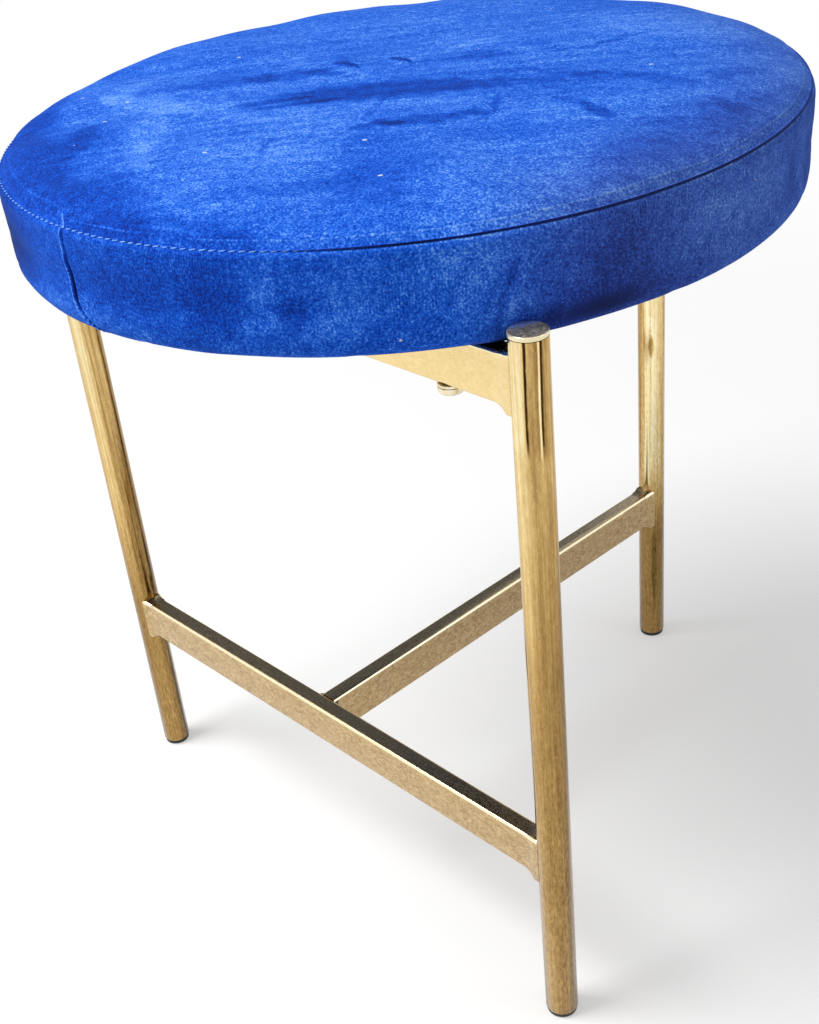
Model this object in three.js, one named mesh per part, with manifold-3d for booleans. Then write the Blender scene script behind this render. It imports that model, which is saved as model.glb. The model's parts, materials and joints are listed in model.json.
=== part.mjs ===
import * as THREE from 'three';
import { mergeVertices } from 'three/addons/utils/BufferGeometryUtils.js';
import Module from 'manifold-3d';

// Round velvet vanity stool on a three-legged frame of polished gold tube.
// Millimetres, +Z up, floor at zero, back leg on the +Y side.

const wasm = await Module();
wasm.setup();

// Layout of the frame
const legCount = 3;
const legCircleRadius = 202;
const legDiameter = 17;
const legWall = 1.2;
const legHeight = 395;
const stretcherTop = 120;
const railBelowLegTop = 11;
const barHeight = 24;
const barDepth = 10.5;
const barWall = 1.2;
const barInnerCorner = 0.3;

// Closing discs on the legs
const capThickness = 2;
const capEdge = 0.6;
const capPlugLength = 6;

// Foot glides
const glideInset = 0.5;
const glideHeight = 2.8;
const glideEdge = 0.8;
const glideStemLength = 14;
const glideRibHeight = 0.25;
const glideRibSpacing = 4.5;

// Welds
const weldHeight = 4.5;
const weldLength = 7;
const weldSide = 1.7;
const weldBead = 3.5;

// Mounting screws, washers and tee nuts
const screwFromLeg = 46;
const screwDiameter = 6;
const screwHeadDiameter = 12;
const screwHeadHeight = 3.6;
const screwTipChamfer = 0.8;
const screwClearance = 1;
const recessSpan = 6;
const recessWidth = 1.3;
const recessDepth = 1.8;
const washerDiameter = 12;
const washerThickness = 1.2;
const teeFlangeDiameter = 19;
const teeFlangeThickness = 1.2;
const teeWall = 0.7;
const teeAboveBoardFace = 3;

// Seat: the legs stand outside the band by the outset, and the layers lie inside it.
const legOutset = 4.2;
const bandHeight = 49.4;
const crownRise = 14;
const clothThickness = 1.2;
const clothPastHole = 0.5;
const boardInset = 17.8;
const boardThickness = 12;
const waddingInset = 13.8;
const waddingThickness = 7;
const dustCoverInset = 23.8;
const dustCoverThickness = 0.8;
const threadDiameter = 0.9;
const foamSideGap = 1.8;
const dentRunout = 15.2;
const dentHeight = 17;
const dimpleDepth = 1.6;
const dimpleRadius = 60;

// Staples
const stapleCount = 12;
const stapleInset = 9;
const stapleCrown = 10;
const stapleWire = 0.7;
const stapleLeg = 7;

// Clearances
const gap = 0.3;
const stapleGap = 0.15;
const overrun = 5;

// Finenesses
const tubeSides = 24;
const smallSides = 16;
const seatSides = 60;
const threadSides = 4;
const seatWarpShare = 0.22;
const dentFromShare = 0.6;
const filletSteps = 6;

const colours = {
  gold: { color: 0xcda55f, metalness: 1, roughness: 0.12 },
  goldCap: { color: 0xc9a25d, metalness: 1, roughness: 0.2 },
  weld: { color: 0xc69d58, metalness: 1, roughness: 0.25 },
  glide: { color: 0x14120f, metalness: 0, roughness: 0.6 },
  steel: { color: 0xb9bcc0, metalness: 1, roughness: 0.3 },
  velvetTop: { color: 0x1f55c8, metalness: 0, roughness: 0.95 },
  velvetBand: { color: 0x1b4bb8, metalness: 0, roughness: 0.95 },
  thread: { color: 0x123a95, metalness: 0, roughness: 0.8 },
  board: { color: 0xc8a877, metalness: 0, roughness: 0.8 },
  foam: { color: 0xe8dfc4, metalness: 0, roughness: 1 },
  wadding: { color: 0xf2f2ee, metalness: 0, roughness: 1 },
  dustCover: { color: 0x17171a, metalness: 0, roughness: 0.95 },
};

// Sizes that follow from those above
const legRadius = legDiameter / 2;
const barHalf = barDepth / 2;
const barCornerRadius = barInnerCorner + barWall;
const railTop = legHeight - railBelowLegTop;
const railBottom = railTop - barHeight;
const crossSetback = legCircleRadius * Math.cos(Math.PI / legCount);
const crossHalfLength = legCircleRadius * Math.sin(Math.PI / legCount);
const footprintShift = (legOutset + legRadius) / 2;
const screwHoleRadius = (screwDiameter + screwClearance) / 2;
const teeBoreRadius = screwDiameter / 2 + gap;
const teeBarrelRadius = teeBoreRadius + teeWall;
const teeBarrelLength = boardThickness - teeAboveBoardFace;
const bandRadius = legCircleRadius - legOutset;
const boardRadius = bandRadius - boardInset;
const waddingRadius = bandRadius - waddingInset;
const dustCoverRadius = bandRadius - dustCoverInset;
const stapleCircleRadius = dustCoverRadius - stapleInset;
const turnUnderRadius = legCircleRadius - screwFromLeg - screwHoleRadius - clothPastHole;
const dustCoverBottom = railTop + gap;
const clothBottom = dustCoverBottom + dustCoverThickness + gap;
const seamHeight = clothBottom + bandHeight;
const boardBottom = clothBottom + clothThickness + gap;
const boardTop = boardBottom + boardThickness;
const foamBottom = boardTop + gap;
const stapleBottom = dustCoverBottom - stapleGap - stapleWire;
const washerTop = railBottom - gap;
const screwHeadTop = washerTop - washerThickness - gap;
const dentDepth = legRadius + gap - legOutset;
const dentHalfWidth = legRadius + gap + dentRunout;
const dentFromRadius = boardRadius + dentFromShare * (bandRadius - boardRadius);
const legAngles = [Math.PI / 2, -Math.PI / 6, -5 * Math.PI / 6];
const screwPlaces = [
  [0, legCircleRadius - screwFromLeg],
  [crossHalfLength - screwFromLeg, -crossSetback],
  [screwFromLeg - crossHalfLength, -crossSetback],
];

const stool = new THREE.Group();
stool.position.y = -footprintShift;

function add(name, geometry, look, x = 0, y = 0, z = 0, turn = 0, parent = stool) {
  const mesh = new THREE.Mesh(geometry, new THREE.MeshStandardMaterial(look));
  mesh.name = name;
  mesh.position.set(x, y, z);
  mesh.rotation.z = turn;
  parent.add(mesh);
  return mesh;
}

// Solids for cutting and joining
function toSolid(geometry) {
  const bare = geometry.clone();
  bare.deleteAttribute('normal');
  bare.deleteAttribute('uv');
  const merged = mergeVertices(bare);
  return new wasm.Manifold(new wasm.Mesh({
    numProp: 3,
    vertProperties: Float32Array.from(merged.attributes.position.array),
    triVerts: Uint32Array.from(merged.index.array),
  }));
}

function toGeometry(solid) {
  const mesh = solid.getMesh();
  const geometry = new THREE.BufferGeometry();
  geometry.setAttribute('position', new THREE.BufferAttribute(mesh.vertProperties, 3));
  geometry.setIndex(new THREE.BufferAttribute(mesh.triVerts, 1));
  geometry.computeVertexNormals();
  return geometry;
}

function cut(geometry, ...tools) {
  let solid = toSolid(geometry);
  for (const tool of tools) {
    solid = solid.subtract(toSolid(tool));
  }
  return toGeometry(solid);
}

function common(first, second) {
  return toGeometry(toSolid(first).intersect(toSolid(second)));
}

// Shapes
function post(radius, bottom, top, x = 0, y = 0, sides = smallSides) {
  const geometry = new THREE.CylinderGeometry(radius, radius, top - bottom, sides);
  geometry.rotateX(Math.PI / 2);
  geometry.translate(x, y, (top + bottom) / 2);
  return geometry;
}

function block(sizeX, sizeY, sizeZ, x, y, z) {
  const geometry = new THREE.BoxGeometry(sizeX, sizeY, sizeZ);
  geometry.translate(x, y, z);
  return geometry;
}

function turned(points, sides) {
  const profile = points.map(([r, z]) => new THREE.Vector2(r, z));
  const geometry = new THREE.LatheGeometry(profile, sides);
  geometry.rotateX(Math.PI / 2);
  return geometry;
}

// Closed ring profiles come back to their first point.
function turnedRing(points, sides) {
  return turned([...points, points[0]], sides);
}

function roundedRectangle(width, height, radius, PathClass = THREE.Shape) {
  const path = new PathClass();
  const x = width / 2;
  const y = height / 2;
  path.moveTo(radius - x, -y);
  path.lineTo(x - radius, -y);
  path.absarc(x - radius, radius - y, radius, -Math.PI / 2, 0);
  path.lineTo(x, y - radius);
  path.absarc(x - radius, y - radius, radius, 0, Math.PI / 2);
  path.lineTo(radius - x, y);
  path.absarc(radius - x, y - radius, radius, Math.PI / 2, Math.PI);
  path.lineTo(-x, radius - y);
  path.absarc(radius - x, radius - y, radius, Math.PI, 1.5 * Math.PI);
  return path;
}

// Rectangular tube from x = start to x = end, centred on z = 0
function barTube(start, end) {
  const outline = roundedRectangle(barHeight, barDepth, barCornerRadius);
  const inside = roundedRectangle(
    barHeight - 2 * barWall, barDepth - 2 * barWall, barInnerCorner, THREE.Path);
  outline.holes.push(inside);
  const geometry = new THREE.ExtrudeGeometry(outline, {
    depth: end - start, bevelEnabled: false, curveSegments: 3,
  });
  geometry.rotateY(Math.PI / 2);
  geometry.translate(start, 0, 0);
  return geometry;
}

function roundTube(outer, inner, length) {
  const shape = new THREE.Shape();
  shape.absarc(0, 0, outer, 0, 2 * Math.PI);
  const bore = new THREE.Path();
  bore.absarc(0, 0, inner, 0, 2 * Math.PI);
  shape.holes.push(bore);
  return new THREE.ExtrudeGeometry(shape, {
    depth: length, bevelEnabled: false, curveSegments: tubeSides / 2,
  });
}

// Legs, their closing discs and their glides
const legNames = ['back', 'front_right', 'front_left'];
const boreRadius = legRadius - legWall;
const plugRadius = boreRadius - gap;

function legTube() {
  const length = legHeight - capThickness - gap - glideHeight - gap;
  return roundTube(legRadius, boreRadius, length);
}

function legCap() {
  return turned([
    [0, -capPlugLength],
    [plugRadius, -capPlugLength],
    [plugRadius, 0],
    [legRadius, 0],
    [legRadius, capThickness - capEdge],
    [legRadius - capEdge, capThickness],
    [0, capThickness],
  ], tubeSides);
}

function footGlide() {
  const radius = legRadius - glideInset;
  const stem = plugRadius - glideRibHeight;
  const points = [
    [0, 0],
    [radius - glideEdge, 0],
    [radius, glideEdge],
    [radius, glideHeight],
    [stem, glideHeight],
  ];
  const ribs = Math.floor(glideStemLength / glideRibSpacing) - 1;
  for (let i = 1; i <= ribs; i++) {
    const z = glideHeight + i * glideRibSpacing;
    points.push([stem, z - glideRibHeight], [plugRadius, z], [stem, z + glideRibHeight]);
  }
  points.push([stem, glideHeight + glideStemLength], [0, glideHeight + glideStemLength]);
  return turned(points, tubeSides);
}

legAngles.forEach((angle, i) => {
  const x = legCircleRadius * Math.cos(angle);
  const y = legCircleRadius * Math.sin(angle);
  add(`leg_${legNames[i]}`, legTube(), colours.gold, x, y, glideHeight + gap);
  add(`leg_cap_${legNames[i]}`, legCap(), colours.goldCap, x, y, legHeight - capThickness);
  add(`foot_glide_${legNames[i]}`, footGlide(), colours.glide, x, y, 0);
});

// Cross bars between the front legs and stems from the back leg, at two heights
function legCutter(x) {
  return post(legRadius + gap, -barHeight, barHeight, x, 0, tubeSides);
}

function screwHole(x) {
  return post(screwHoleRadius, -barHeight, barHeight, x, 0);
}

function crossBar(withHoles) {
  const tools = [legCutter(crossHalfLength), legCutter(-crossHalfLength)];
  if (withHoles) {
    tools.push(screwHole(crossHalfLength - screwFromLeg));
    tools.push(screwHole(screwFromLeg - crossHalfLength));
  }
  return cut(barTube(-crossHalfLength, crossHalfLength), ...tools);
}

// The stem runs along its own +x from the cross bar's back face to the back leg.
function stemBar(withHoles) {
  const start = barHalf + gap;
  const end = crossSetback + legCircleRadius;
  const tools = [legCutter(end)];
  if (withHoles) {
    tools.push(screwHole(end - screwFromLeg));
  }
  return cut(barTube(start, end), ...tools);
}

const levels = [
  { name: 'lower', bar: 'stretcher', middle: stretcherTop - barHeight / 2, holes: false },
  { name: 'upper', bar: 'rail', middle: railTop - barHeight / 2, holes: true },
];
for (const { name, bar, middle, holes } of levels) {
  add(`${name}_cross_${bar}`, crossBar(holes), colours.gold, 0, -crossSetback, middle);
  add(`${name}_stem_${bar}`, stemBar(holes), colours.gold,
    0, -crossSetback, middle, Math.PI / 2);
}

// Ground weld round a bar's end: hollow fillets above, below and beside it
function filletOutline(half, reach, start) {
  const points = [];
  for (let i = 0; i <= filletSteps; i++) {
    const t = i / filletSteps;
    const x = legRadius + weldLength * t;
    points.push(new THREE.Vector2(x, half + reach * (1 - t) * (1 - t)));
  }
  const top = [new THREE.Vector2(start, half + reach), ...points];
  const bottom = top.map((p) => new THREE.Vector2(p.x, -p.y)).reverse();
  return new THREE.Shape([...top, ...bottom]);
}

function legWeld() {
  const width = barDepth + 4 * weldSide;
  const height = barHeight + 4 * weldHeight;
  const start = legRadius / 2;
  const side = new THREE.ExtrudeGeometry(filletOutline(barHeight / 2, weldHeight, start), {
    depth: width, bevelEnabled: false,
  });
  side.translate(0, 0, -width / 2);
  side.rotateX(Math.PI / 2);
  const plan = new THREE.ExtrudeGeometry(filletOutline(barHalf, weldSide, start), {
    depth: height, bevelEnabled: false,
  });
  plan.translate(0, 0, -height / 2);
  const bar = block(4 * weldLength, barDepth + 2 * gap, barHeight + 2 * gap, legRadius, 0, 0);
  const leg = post(legRadius + gap, -height, height, 0, 0, tubeSides);
  return cut(common(side, plan), leg, bar);
}

for (const { name, middle } of levels) {
  const weld = (place, x, y, turn) => {
    add(`weld_${name}_${place}`, legWeld(), colours.weld, x, y, middle, turn);
  };
  weld('front_right', crossHalfLength, -crossSetback, Math.PI);
  weld('front_left', -crossHalfLength, -crossSetback, 0);
  weld('back', 0, legCircleRadius, -Math.PI / 2);
}

// Bead in the corner between a stem and its cross bar
function teeBead(side) {
  const corner = new THREE.Shape();
  const near = gap;
  const far = gap + weldBead;
  corner.moveTo(near, near);
  corner.lineTo(far, near);
  corner.quadraticCurveTo(near + gap, near + gap, near, far);
  corner.closePath();
  const length = barHeight - 2 * barCornerRadius;
  const geometry = new THREE.ExtrudeGeometry(corner, {
    depth: length, bevelEnabled: false, curveSegments: filletSteps,
  });
  if (side < 0) {
    geometry.rotateZ(Math.PI / 2);
  }
  geometry.translate(side * barHalf, barHalf, -length / 2);
  return geometry;
}

for (const { name, middle } of levels) {
  add(`weld_${name}_tee_right`, teeBead(1), colours.weld, 0, -crossSetback, middle);
  add(`weld_${name}_tee_left`, teeBead(-1), colours.weld, 0, -crossSetback, middle);
}

// Screws up through the rails into tee nuts in the board, with a low domed head
const screwDomeShares = [[0, 0], [0.55, 0], [0.85, 0.22], [1, 0.6], [1, 1]];

function mountingScrew() {
  const headRadius = screwHeadDiameter / 2;
  const shank = screwDiameter / 2;
  const tip = boardTop - screwHeadTop + screwHeadHeight;
  const body = turned([
    ...screwDomeShares.map(([r, z]) => [r * headRadius, z * screwHeadHeight]),
    [shank, screwHeadHeight],
    [shank, tip - screwTipChamfer],
    [shank - screwTipChamfer, tip],
    [0, tip],
  ], smallSides);
  const depth = 2 * recessDepth;
  return cut(body,
    block(recessSpan, recessWidth, depth, 0, 0, 0),
    block(recessWidth, recessSpan, depth, 0, 0, 0));
}

function washer() {
  return turnedRing([
    [screwHoleRadius, 0],
    [washerDiameter / 2, 0],
    [washerDiameter / 2, washerThickness],
    [screwHoleRadius, washerThickness],
  ], smallSides);
}

function teeNut() {
  return turnedRing([
    [teeBoreRadius, -teeBarrelLength],
    [teeBarrelRadius, -teeBarrelLength],
    [teeBarrelRadius, 0],
    [teeFlangeDiameter / 2, 0],
    [teeFlangeDiameter / 2, teeFlangeThickness],
    [teeBoreRadius, teeFlangeThickness],
  ], smallSides);
}

screwPlaces.forEach(([x, y], i) => {
  const place = legNames[i];
  add(`seat_screw_${place}`, mountingScrew(), colours.steel,
    x, y, screwHeadTop - screwHeadHeight);
  add(`screw_washer_${place}`, washer(), colours.steel, x, y, washerTop - washerThickness);
  add(`tee_nut_${place}`, teeNut(), colours.steel, x, y, boardTop + gap);
});

// Seat layers: sides draw in near the legs, where the leg tops press into the cushion.
function dentAt(angle, z) {
  let nearest = Infinity;
  for (const leg of legAngles) {
    const turn = Math.abs(Math.atan2(Math.sin(angle - leg), Math.cos(angle - leg)));
    nearest = Math.min(nearest, turn * bandRadius);
  }
  const across = 1 - THREE.MathUtils.smoothstep(nearest, legRadius + gap, dentHalfWidth);
  const up = 1 - THREE.MathUtils.smoothstep(z, legHeight + gap, legHeight + dentHeight);
  return dentDepth * across * up;
}

function crowdAndDent(geometry) {
  const place = geometry.attributes.position;
  for (let i = 0; i < place.count; i++) {
    const x = place.getX(i);
    const y = place.getY(i);
    const z = place.getZ(i);
    const radius = Math.hypot(x, y);
    if (radius > 0) {
      const even = Math.atan2(y, x);
      const angle = even - seatWarpShare * Math.sin(legCount * (even - legAngles[0]));
      const pressed = radius > dentFromRadius ? dentAt(angle, z) : 0;
      place.setX(i, (radius - pressed) * Math.cos(angle));
      place.setY(i, (radius - pressed) * Math.sin(angle));
    }
  }
  return geometry;
}

// Staples through the dust cover and the turned-under cloth into the board
function stapleAngle(i) {
  return (i + 0.5) * 2 * Math.PI / stapleCount;
}

function staple() {
  const half = stapleCrown / 2;
  const inner = half - stapleWire;
  const shape = new THREE.Shape();
  shape.moveTo(-half, 0);
  shape.lineTo(half, 0);
  shape.lineTo(half, stapleLeg);
  shape.lineTo(inner, stapleLeg);
  shape.lineTo(inner, stapleWire);
  shape.lineTo(-inner, stapleWire);
  shape.lineTo(-inner, stapleLeg);
  shape.lineTo(-half, stapleLeg);
  shape.closePath();
  const geometry = new THREE.ExtrudeGeometry(shape, {
    depth: stapleWire, bevelEnabled: false,
  });
  geometry.translate(0, 0, -stapleWire / 2);
  geometry.rotateX(Math.PI / 2);
  geometry.rotateZ(Math.PI / 2);
  geometry.translate(stapleCircleRadius, 0, 0);
  return geometry;
}

function stapleSlots() {
  const width = stapleWire + 2 * stapleGap;
  const top = stapleBottom + stapleLeg + stapleGap;
  const height = top - stapleBottom;
  const slots = [];
  for (let i = 0; i < stapleCount; i++) {
    for (const side of [-1, 1]) {
      const slot = block(width, width, height, stapleCircleRadius,
        side * (stapleCrown - stapleWire) / 2, stapleBottom + height / 2);
      slot.rotateZ(stapleAngle(i));
      slots.push(slot);
    }
  }
  return slots;
}

for (let i = 0; i < stapleCount; i++) {
  add(`staple_${i + 1}`, staple(), colours.steel, 0, 0, stapleBottom, stapleAngle(i));
}

function screwPosts(radius, bottom, top) {
  return screwPlaces.map(([x, y]) => post(radius, bottom, top, x, y));
}

// Dust cover and board, pierced for the screws, tee nuts and staples
function disc(radius, bottom, thickness) {
  return crowdAndDent(turned([
    [0, bottom], [radius, bottom], [radius, bottom + thickness], [0, bottom + thickness],
  ], seatSides));
}

function dustCover() {
  return cut(disc(dustCoverRadius, dustCoverBottom, dustCoverThickness),
    ...screwPosts(screwHoleRadius, railTop, boardTop), ...stapleSlots());
}

function seatBoard() {
  return cut(disc(boardRadius, boardBottom, boardThickness),
    ...screwPosts(teeBarrelRadius + gap, railTop, boardTop + overrun),
    ...stapleSlots());
}

add('dust_cover', dustCover(), colours.dustCover);
add('seat_board', seatBoard(), colours.board);

// Moves a profile's points along its own normals by the given distance.
function offset(points, distance) {
  return points.map(([r, z], i) => {
    const before = points[Math.max(i - 1, 0)];
    const after = points[Math.min(i + 1, points.length - 1)];
    const dr = after[0] - before[0];
    const dz = after[1] - before[1];
    const length = Math.hypot(dr, dz);
    return [r - distance * dz / length, z + distance * dr / length];
  });
}

// Outer faces of the cover, as shares of the band's radius and of each rise
const crownShares = [
  [0, 0.985], [0.31, 1], [0.56, 0.965], [0.74, 0.87], [0.84, 0.75], [0.9, 0.62],
  [0.942, 0.46], [0.975, 0.24], [0.992, 0],
];
const bandShares = [
  [0.992, 1], [1, 0.93], [0.998, 0.52], [0.999, 0.25], [0.988, 0.1], [0.958, 0.03],
  [0.925, 0],
];
const crownOuter = crownShares.map(
  ([r, z]) => [r * bandRadius, seamHeight + gap / 2 + z * crownRise]);
const bandOuter = bandShares.map(
  ([r, z]) => [r * bandRadius, clothBottom + z * (bandHeight - gap / 2)]);

function dimpled(geometry) {
  const place = geometry.attributes.position;
  for (let i = 0; i < place.count; i++) {
    const radius = Math.hypot(place.getX(i), place.getY(i));
    const drop = dimpleDepth * (1 - THREE.MathUtils.smoothstep(radius, 0, dimpleRadius));
    if (place.getZ(i) > seamHeight - waddingThickness) {
      place.setZ(i, place.getZ(i) - drop);
    }
  }
  return geometry;
}

function topPanel() {
  const seam = crownOuter[crownOuter.length - 1];
  const inner = offset(crownOuter, -clothThickness);
  inner[0][0] = 0;
  inner[inner.length - 1] = [seam[0] - clothThickness, seam[1]];
  return dimpled(crowdAndDent(turned([...inner, ...[...crownOuter].reverse()], seatSides)));
}

function boxingBand() {
  const seam = bandOuter[0];
  const inner = offset(bandOuter, -clothThickness);
  const last = inner.length - 1;
  inner[0] = [seam[0] - clothThickness, seam[1]];
  inner[last][1] = clothBottom + clothThickness;
  inner.splice(last - 1, 1);
  const ring = [
    ...[...bandOuter].reverse(), ...inner,
    [turnUnderRadius, clothBottom + clothThickness],
    [turnUnderRadius, clothBottom],
  ];
  return cut(crowdAndDent(turnedRing(ring, seatSides)),
    ...screwPosts(screwHoleRadius, railTop, boardBottom), ...stapleSlots());
}

// Soft layer between the foam and the top panel
function wadding() {
  const above = offset(crownOuter, -clothThickness - gap).filter(([r]) => r < waddingRadius);
  const below = above.map(([r, z]) => [r, z - waddingThickness]);
  above[0][0] = 0;
  below[0][0] = 0;
  return dimpled(crowdAndDent(turned([...below, ...above.reverse()], seatSides)));
}

// The foam fills the band beside and above the board and leaves room for the tee nuts.
function foamPad() {
  const side = offset(bandOuter, -clothThickness - foamSideGap).slice(1, 5).reverse();
  const skirtRadius = boardRadius + gap;
  const crown = offset(crownOuter, -clothThickness - 2 * gap - waddingThickness);
  const top = crown.filter(([r]) => r < waddingRadius).reverse();
  top[top.length - 1][0] = 0;
  const pad = turned([
    [0, foamBottom], [skirtRadius, foamBottom], [skirtRadius, side[0][1]],
    ...side, ...top,
  ], seatSides);
  const pocketTop = boardTop + 2 * gap + teeFlangeThickness + gap;
  return cut(dimpled(crowdAndDent(pad)),
    ...screwPosts(teeFlangeDiameter / 2 + gap, boardTop, pocketTop));
}

function seamThread() {
  const groove = crownOuter[crownOuter.length - 1][0] + gap;
  const radius = threadDiameter / 2;
  const points = [];
  for (let i = 0; i < threadSides; i++) {
    const turn = 2 * Math.PI * i / threadSides;
    points.push([groove + radius + radius * Math.cos(turn),
      seamHeight + radius * Math.sin(turn)]);
  }
  return crowdAndDent(turnedRing(points, seatSides));
}

add('foam_pad', foamPad(), colours.foam);
add('wadding_layer', wadding(), colours.wadding);
add('cover_top_panel', topPanel(), colours.velvetTop);
add('cover_boxing_band', boxingBand(), colours.velvetBand);
add('seam_thread', seamThread(), colours.thread);

export default stool;
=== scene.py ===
import json
import math

import bmesh
import bpy
import numpy as np
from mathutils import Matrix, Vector, noise

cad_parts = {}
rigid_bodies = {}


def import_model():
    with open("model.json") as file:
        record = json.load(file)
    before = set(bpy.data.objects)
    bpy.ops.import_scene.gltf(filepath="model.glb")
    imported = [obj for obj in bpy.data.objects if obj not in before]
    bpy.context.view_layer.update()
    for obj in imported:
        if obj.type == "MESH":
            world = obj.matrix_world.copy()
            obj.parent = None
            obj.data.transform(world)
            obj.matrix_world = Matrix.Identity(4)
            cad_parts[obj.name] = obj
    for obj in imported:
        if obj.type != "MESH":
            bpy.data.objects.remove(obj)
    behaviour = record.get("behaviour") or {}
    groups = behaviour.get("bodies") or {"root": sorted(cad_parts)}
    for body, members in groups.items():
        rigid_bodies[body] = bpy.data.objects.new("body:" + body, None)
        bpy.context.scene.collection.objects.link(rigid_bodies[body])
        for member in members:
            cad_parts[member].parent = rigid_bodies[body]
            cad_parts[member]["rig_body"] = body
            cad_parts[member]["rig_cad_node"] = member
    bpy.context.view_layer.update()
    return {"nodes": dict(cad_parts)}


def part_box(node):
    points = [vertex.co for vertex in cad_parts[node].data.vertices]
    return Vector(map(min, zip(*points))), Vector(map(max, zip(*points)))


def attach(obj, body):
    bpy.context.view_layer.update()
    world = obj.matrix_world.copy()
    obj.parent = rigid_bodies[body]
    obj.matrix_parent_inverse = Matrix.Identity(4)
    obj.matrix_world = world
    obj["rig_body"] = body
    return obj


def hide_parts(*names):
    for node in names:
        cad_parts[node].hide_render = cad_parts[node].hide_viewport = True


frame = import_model()
nodes = frame["nodes"]
MM = 0.001

# Leg tubes
# Three round steel tubes, polished and gold plated, open at both ends. A disc closes the top of
# each and a glide is pushed into its foot. Their colour carries painted reflections: long
# streaks round each leg and single marks.
tube_wall = 1.2 * MM
tube_rim = 0.25 * MM
plate_grain = 0.4 * MM
leg_places = ("back", "front_right", "front_left")
# Where on each leg's round its painted reflection streaks begin.
leg_reflection_turns = {"back": 0.895, "front_right": 0.0, "front_left": 0.83}
# Painted reflection streaks once round each leg: place on the round and tone.
leg_reflection_streaks = {
    "back": (
        (0.0, 0.38), (0.08, 0.5), (0.13, 0.84), (0.19, 0.6), (0.235, 0.12), (0.25, 0.55),
        (0.36, 0.7), (0.43, 0.4), (0.5, 0.34), (0.6, 0.38), (0.66, 0.62), (0.69, 0.84),
        (0.705, 0.98), (0.722, 0.82), (0.75, 0.88), (0.8, 0.84), (0.85, 0.72), (0.89, 0.56),
        (0.94, 0.42), (1.0, 0.38)),
    "front_right": (
        (0.0, 0.4), (0.07, 0.5), (0.1, 0.8), (0.14, 0.5), (0.25, 0.3), (0.31, 0.08),
        (0.34, 0.74), (0.44, 0.84), (0.462, 0.1), (0.475, 0.55), (0.56, 0.42), (0.62, 0.82),
        (0.8, 0.9), (0.818, 0.7), (0.825, 0.02), (0.838, 0.03), (0.848, 0.58), (0.88, 0.5),
        (0.925, 0.34), (0.934, 0.98), (0.944, 0.92), (0.948, 0.03), (0.962, 0.06), (0.972, 0.38),
        (1.0, 0.4)),
    "front_left": (
        (0.0, 0.45), (0.1, 0.6), (0.14, 0.82), (0.2, 0.7), (0.24, 0.15), (0.26, 0.5),
        (0.36, 0.66), (0.44, 0.4), (0.5, 0.45), (0.6, 0.76), (0.65, 0.88), (0.7, 0.78),
        (0.722, 0.66), (0.73, 0.42), (0.745, 0.56), (0.78, 0.62), (0.8, 0.5), (0.84, 0.58),
        (0.868, 0.46), (0.878, 0.08), (0.89, 0.14), (0.905, 0.42), (1.0, 0.45)),
}
# Painted reflection tone low on each leg, how much lighter it is high up, and the heights
# between which it turns.
leg_reflection_rise = {
    "back": (0.43, 0.62, 0.09, 0.15),
    "front_right": (0.57, 0.39, 0.2, 0.37),
    "front_left": (0.46, 0.5, 0.1, 0.3),
}
# Heights between which the painted reflection streaks turn from blurred to crisp.
leg_reflection_crisp = {"back": (0.09, 0.15), "front_right": (0.343, 0.36), "front_left": (0.09, 0.14)}
# Single painted reflection marks, light and dark: place on the round, height, half sizes of
# both, and tone.
leg_reflection_marks = {
    "back": (
        (0.736, 0.245, 0.035, 0.005, 0.5), (0.75, 0.228, 0.04, 0.01, -0.45),
        (0.697, 0.139, 0.025, 0.012, 0.4), (0.663, 0.122, 0.04, 0.004, 0.4),
        (0.69, 0.15, 0.04, 0.03, 0.2), (0.79, 0.06, 0.045, 0.05, -0.14)),
    "front_right": (
        (0.838, 0.388, 0.01, 0.008, -0.5), (0.838, 0.376, 0.008, 0.005, -0.6),
        (0.862, 0.34, 0.03, 0.03, -0.1),
        (0.75, 0.28, 0.05, 0.1, 0.08)),
    "front_left": (
        (0.885, 0.153, 0.02, 0.022, -0.3), (0.855, 0.132, 0.03, 0.012, -0.25),
        (0.79, 0.14, 0.03, 0.03, -0.12), (0.66, 0.33, 0.06, 0.06, 0.06),
        (0.9, 0.05, 0.035, 0.07, -0.24)),
}


def start(primitive, **how):
    """Adds one primitive with nothing else selected, and returns it."""
    bpy.ops.object.select_all(action="DESELECT")
    primitive(**how)
    return bpy.context.object


def pick(piece, kind, test):
    """In edit mode, selects only the vertices, edges or faces that pass the test."""
    bpy.ops.mesh.select_mode(type=kind)
    bpy.ops.mesh.select_all(action="DESELECT")
    mesh = bmesh.from_edit_mesh(piece.data)
    for part in {"VERT": mesh.verts, "EDGE": mesh.edges, "FACE": mesh.faces}[kind]:
        if test(part):
            part.select_set(True)
    mesh.select_flush_mode()
    bmesh.update_edit_mesh(piece.data)


def work(piece, kind, **settings):
    """Adds a modifier to a piece and applies it."""
    bpy.context.view_layer.objects.active = piece
    made = piece.modifiers.new(kind.title(), kind)
    for key, value in settings.items():
        setattr(made, key, value)
    bpy.ops.object.modifier_apply(modifier=made.name)


def carve(piece, *tools):
    """Cuts each tool out of a piece, and throws the tools away."""
    for tool in tools:
        work(piece, "BOOLEAN", operation="DIFFERENCE", solver="EXACT", object=tool)
        bpy.data.objects.remove(tool)


def settle(piece, name, finish, slot, *replaced, smooth=32):
    """Names and shades a finished piece, and fixes it to the stool with its place in its mesh."""
    piece.name = piece.data.name = name
    bpy.ops.object.select_all(action="DESELECT")
    piece.select_set(True)
    bpy.context.view_layer.objects.active = piece
    bpy.ops.object.transform_apply(location=True, rotation=True, scale=True)
    bpy.ops.object.shade_smooth_by_angle(angle=math.radians(smooth))
    piece.data.materials.clear()
    piece.data.materials.append(finish)
    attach(piece, "root")
    if replaced:
        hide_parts(*replaced)
    return piece


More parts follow.
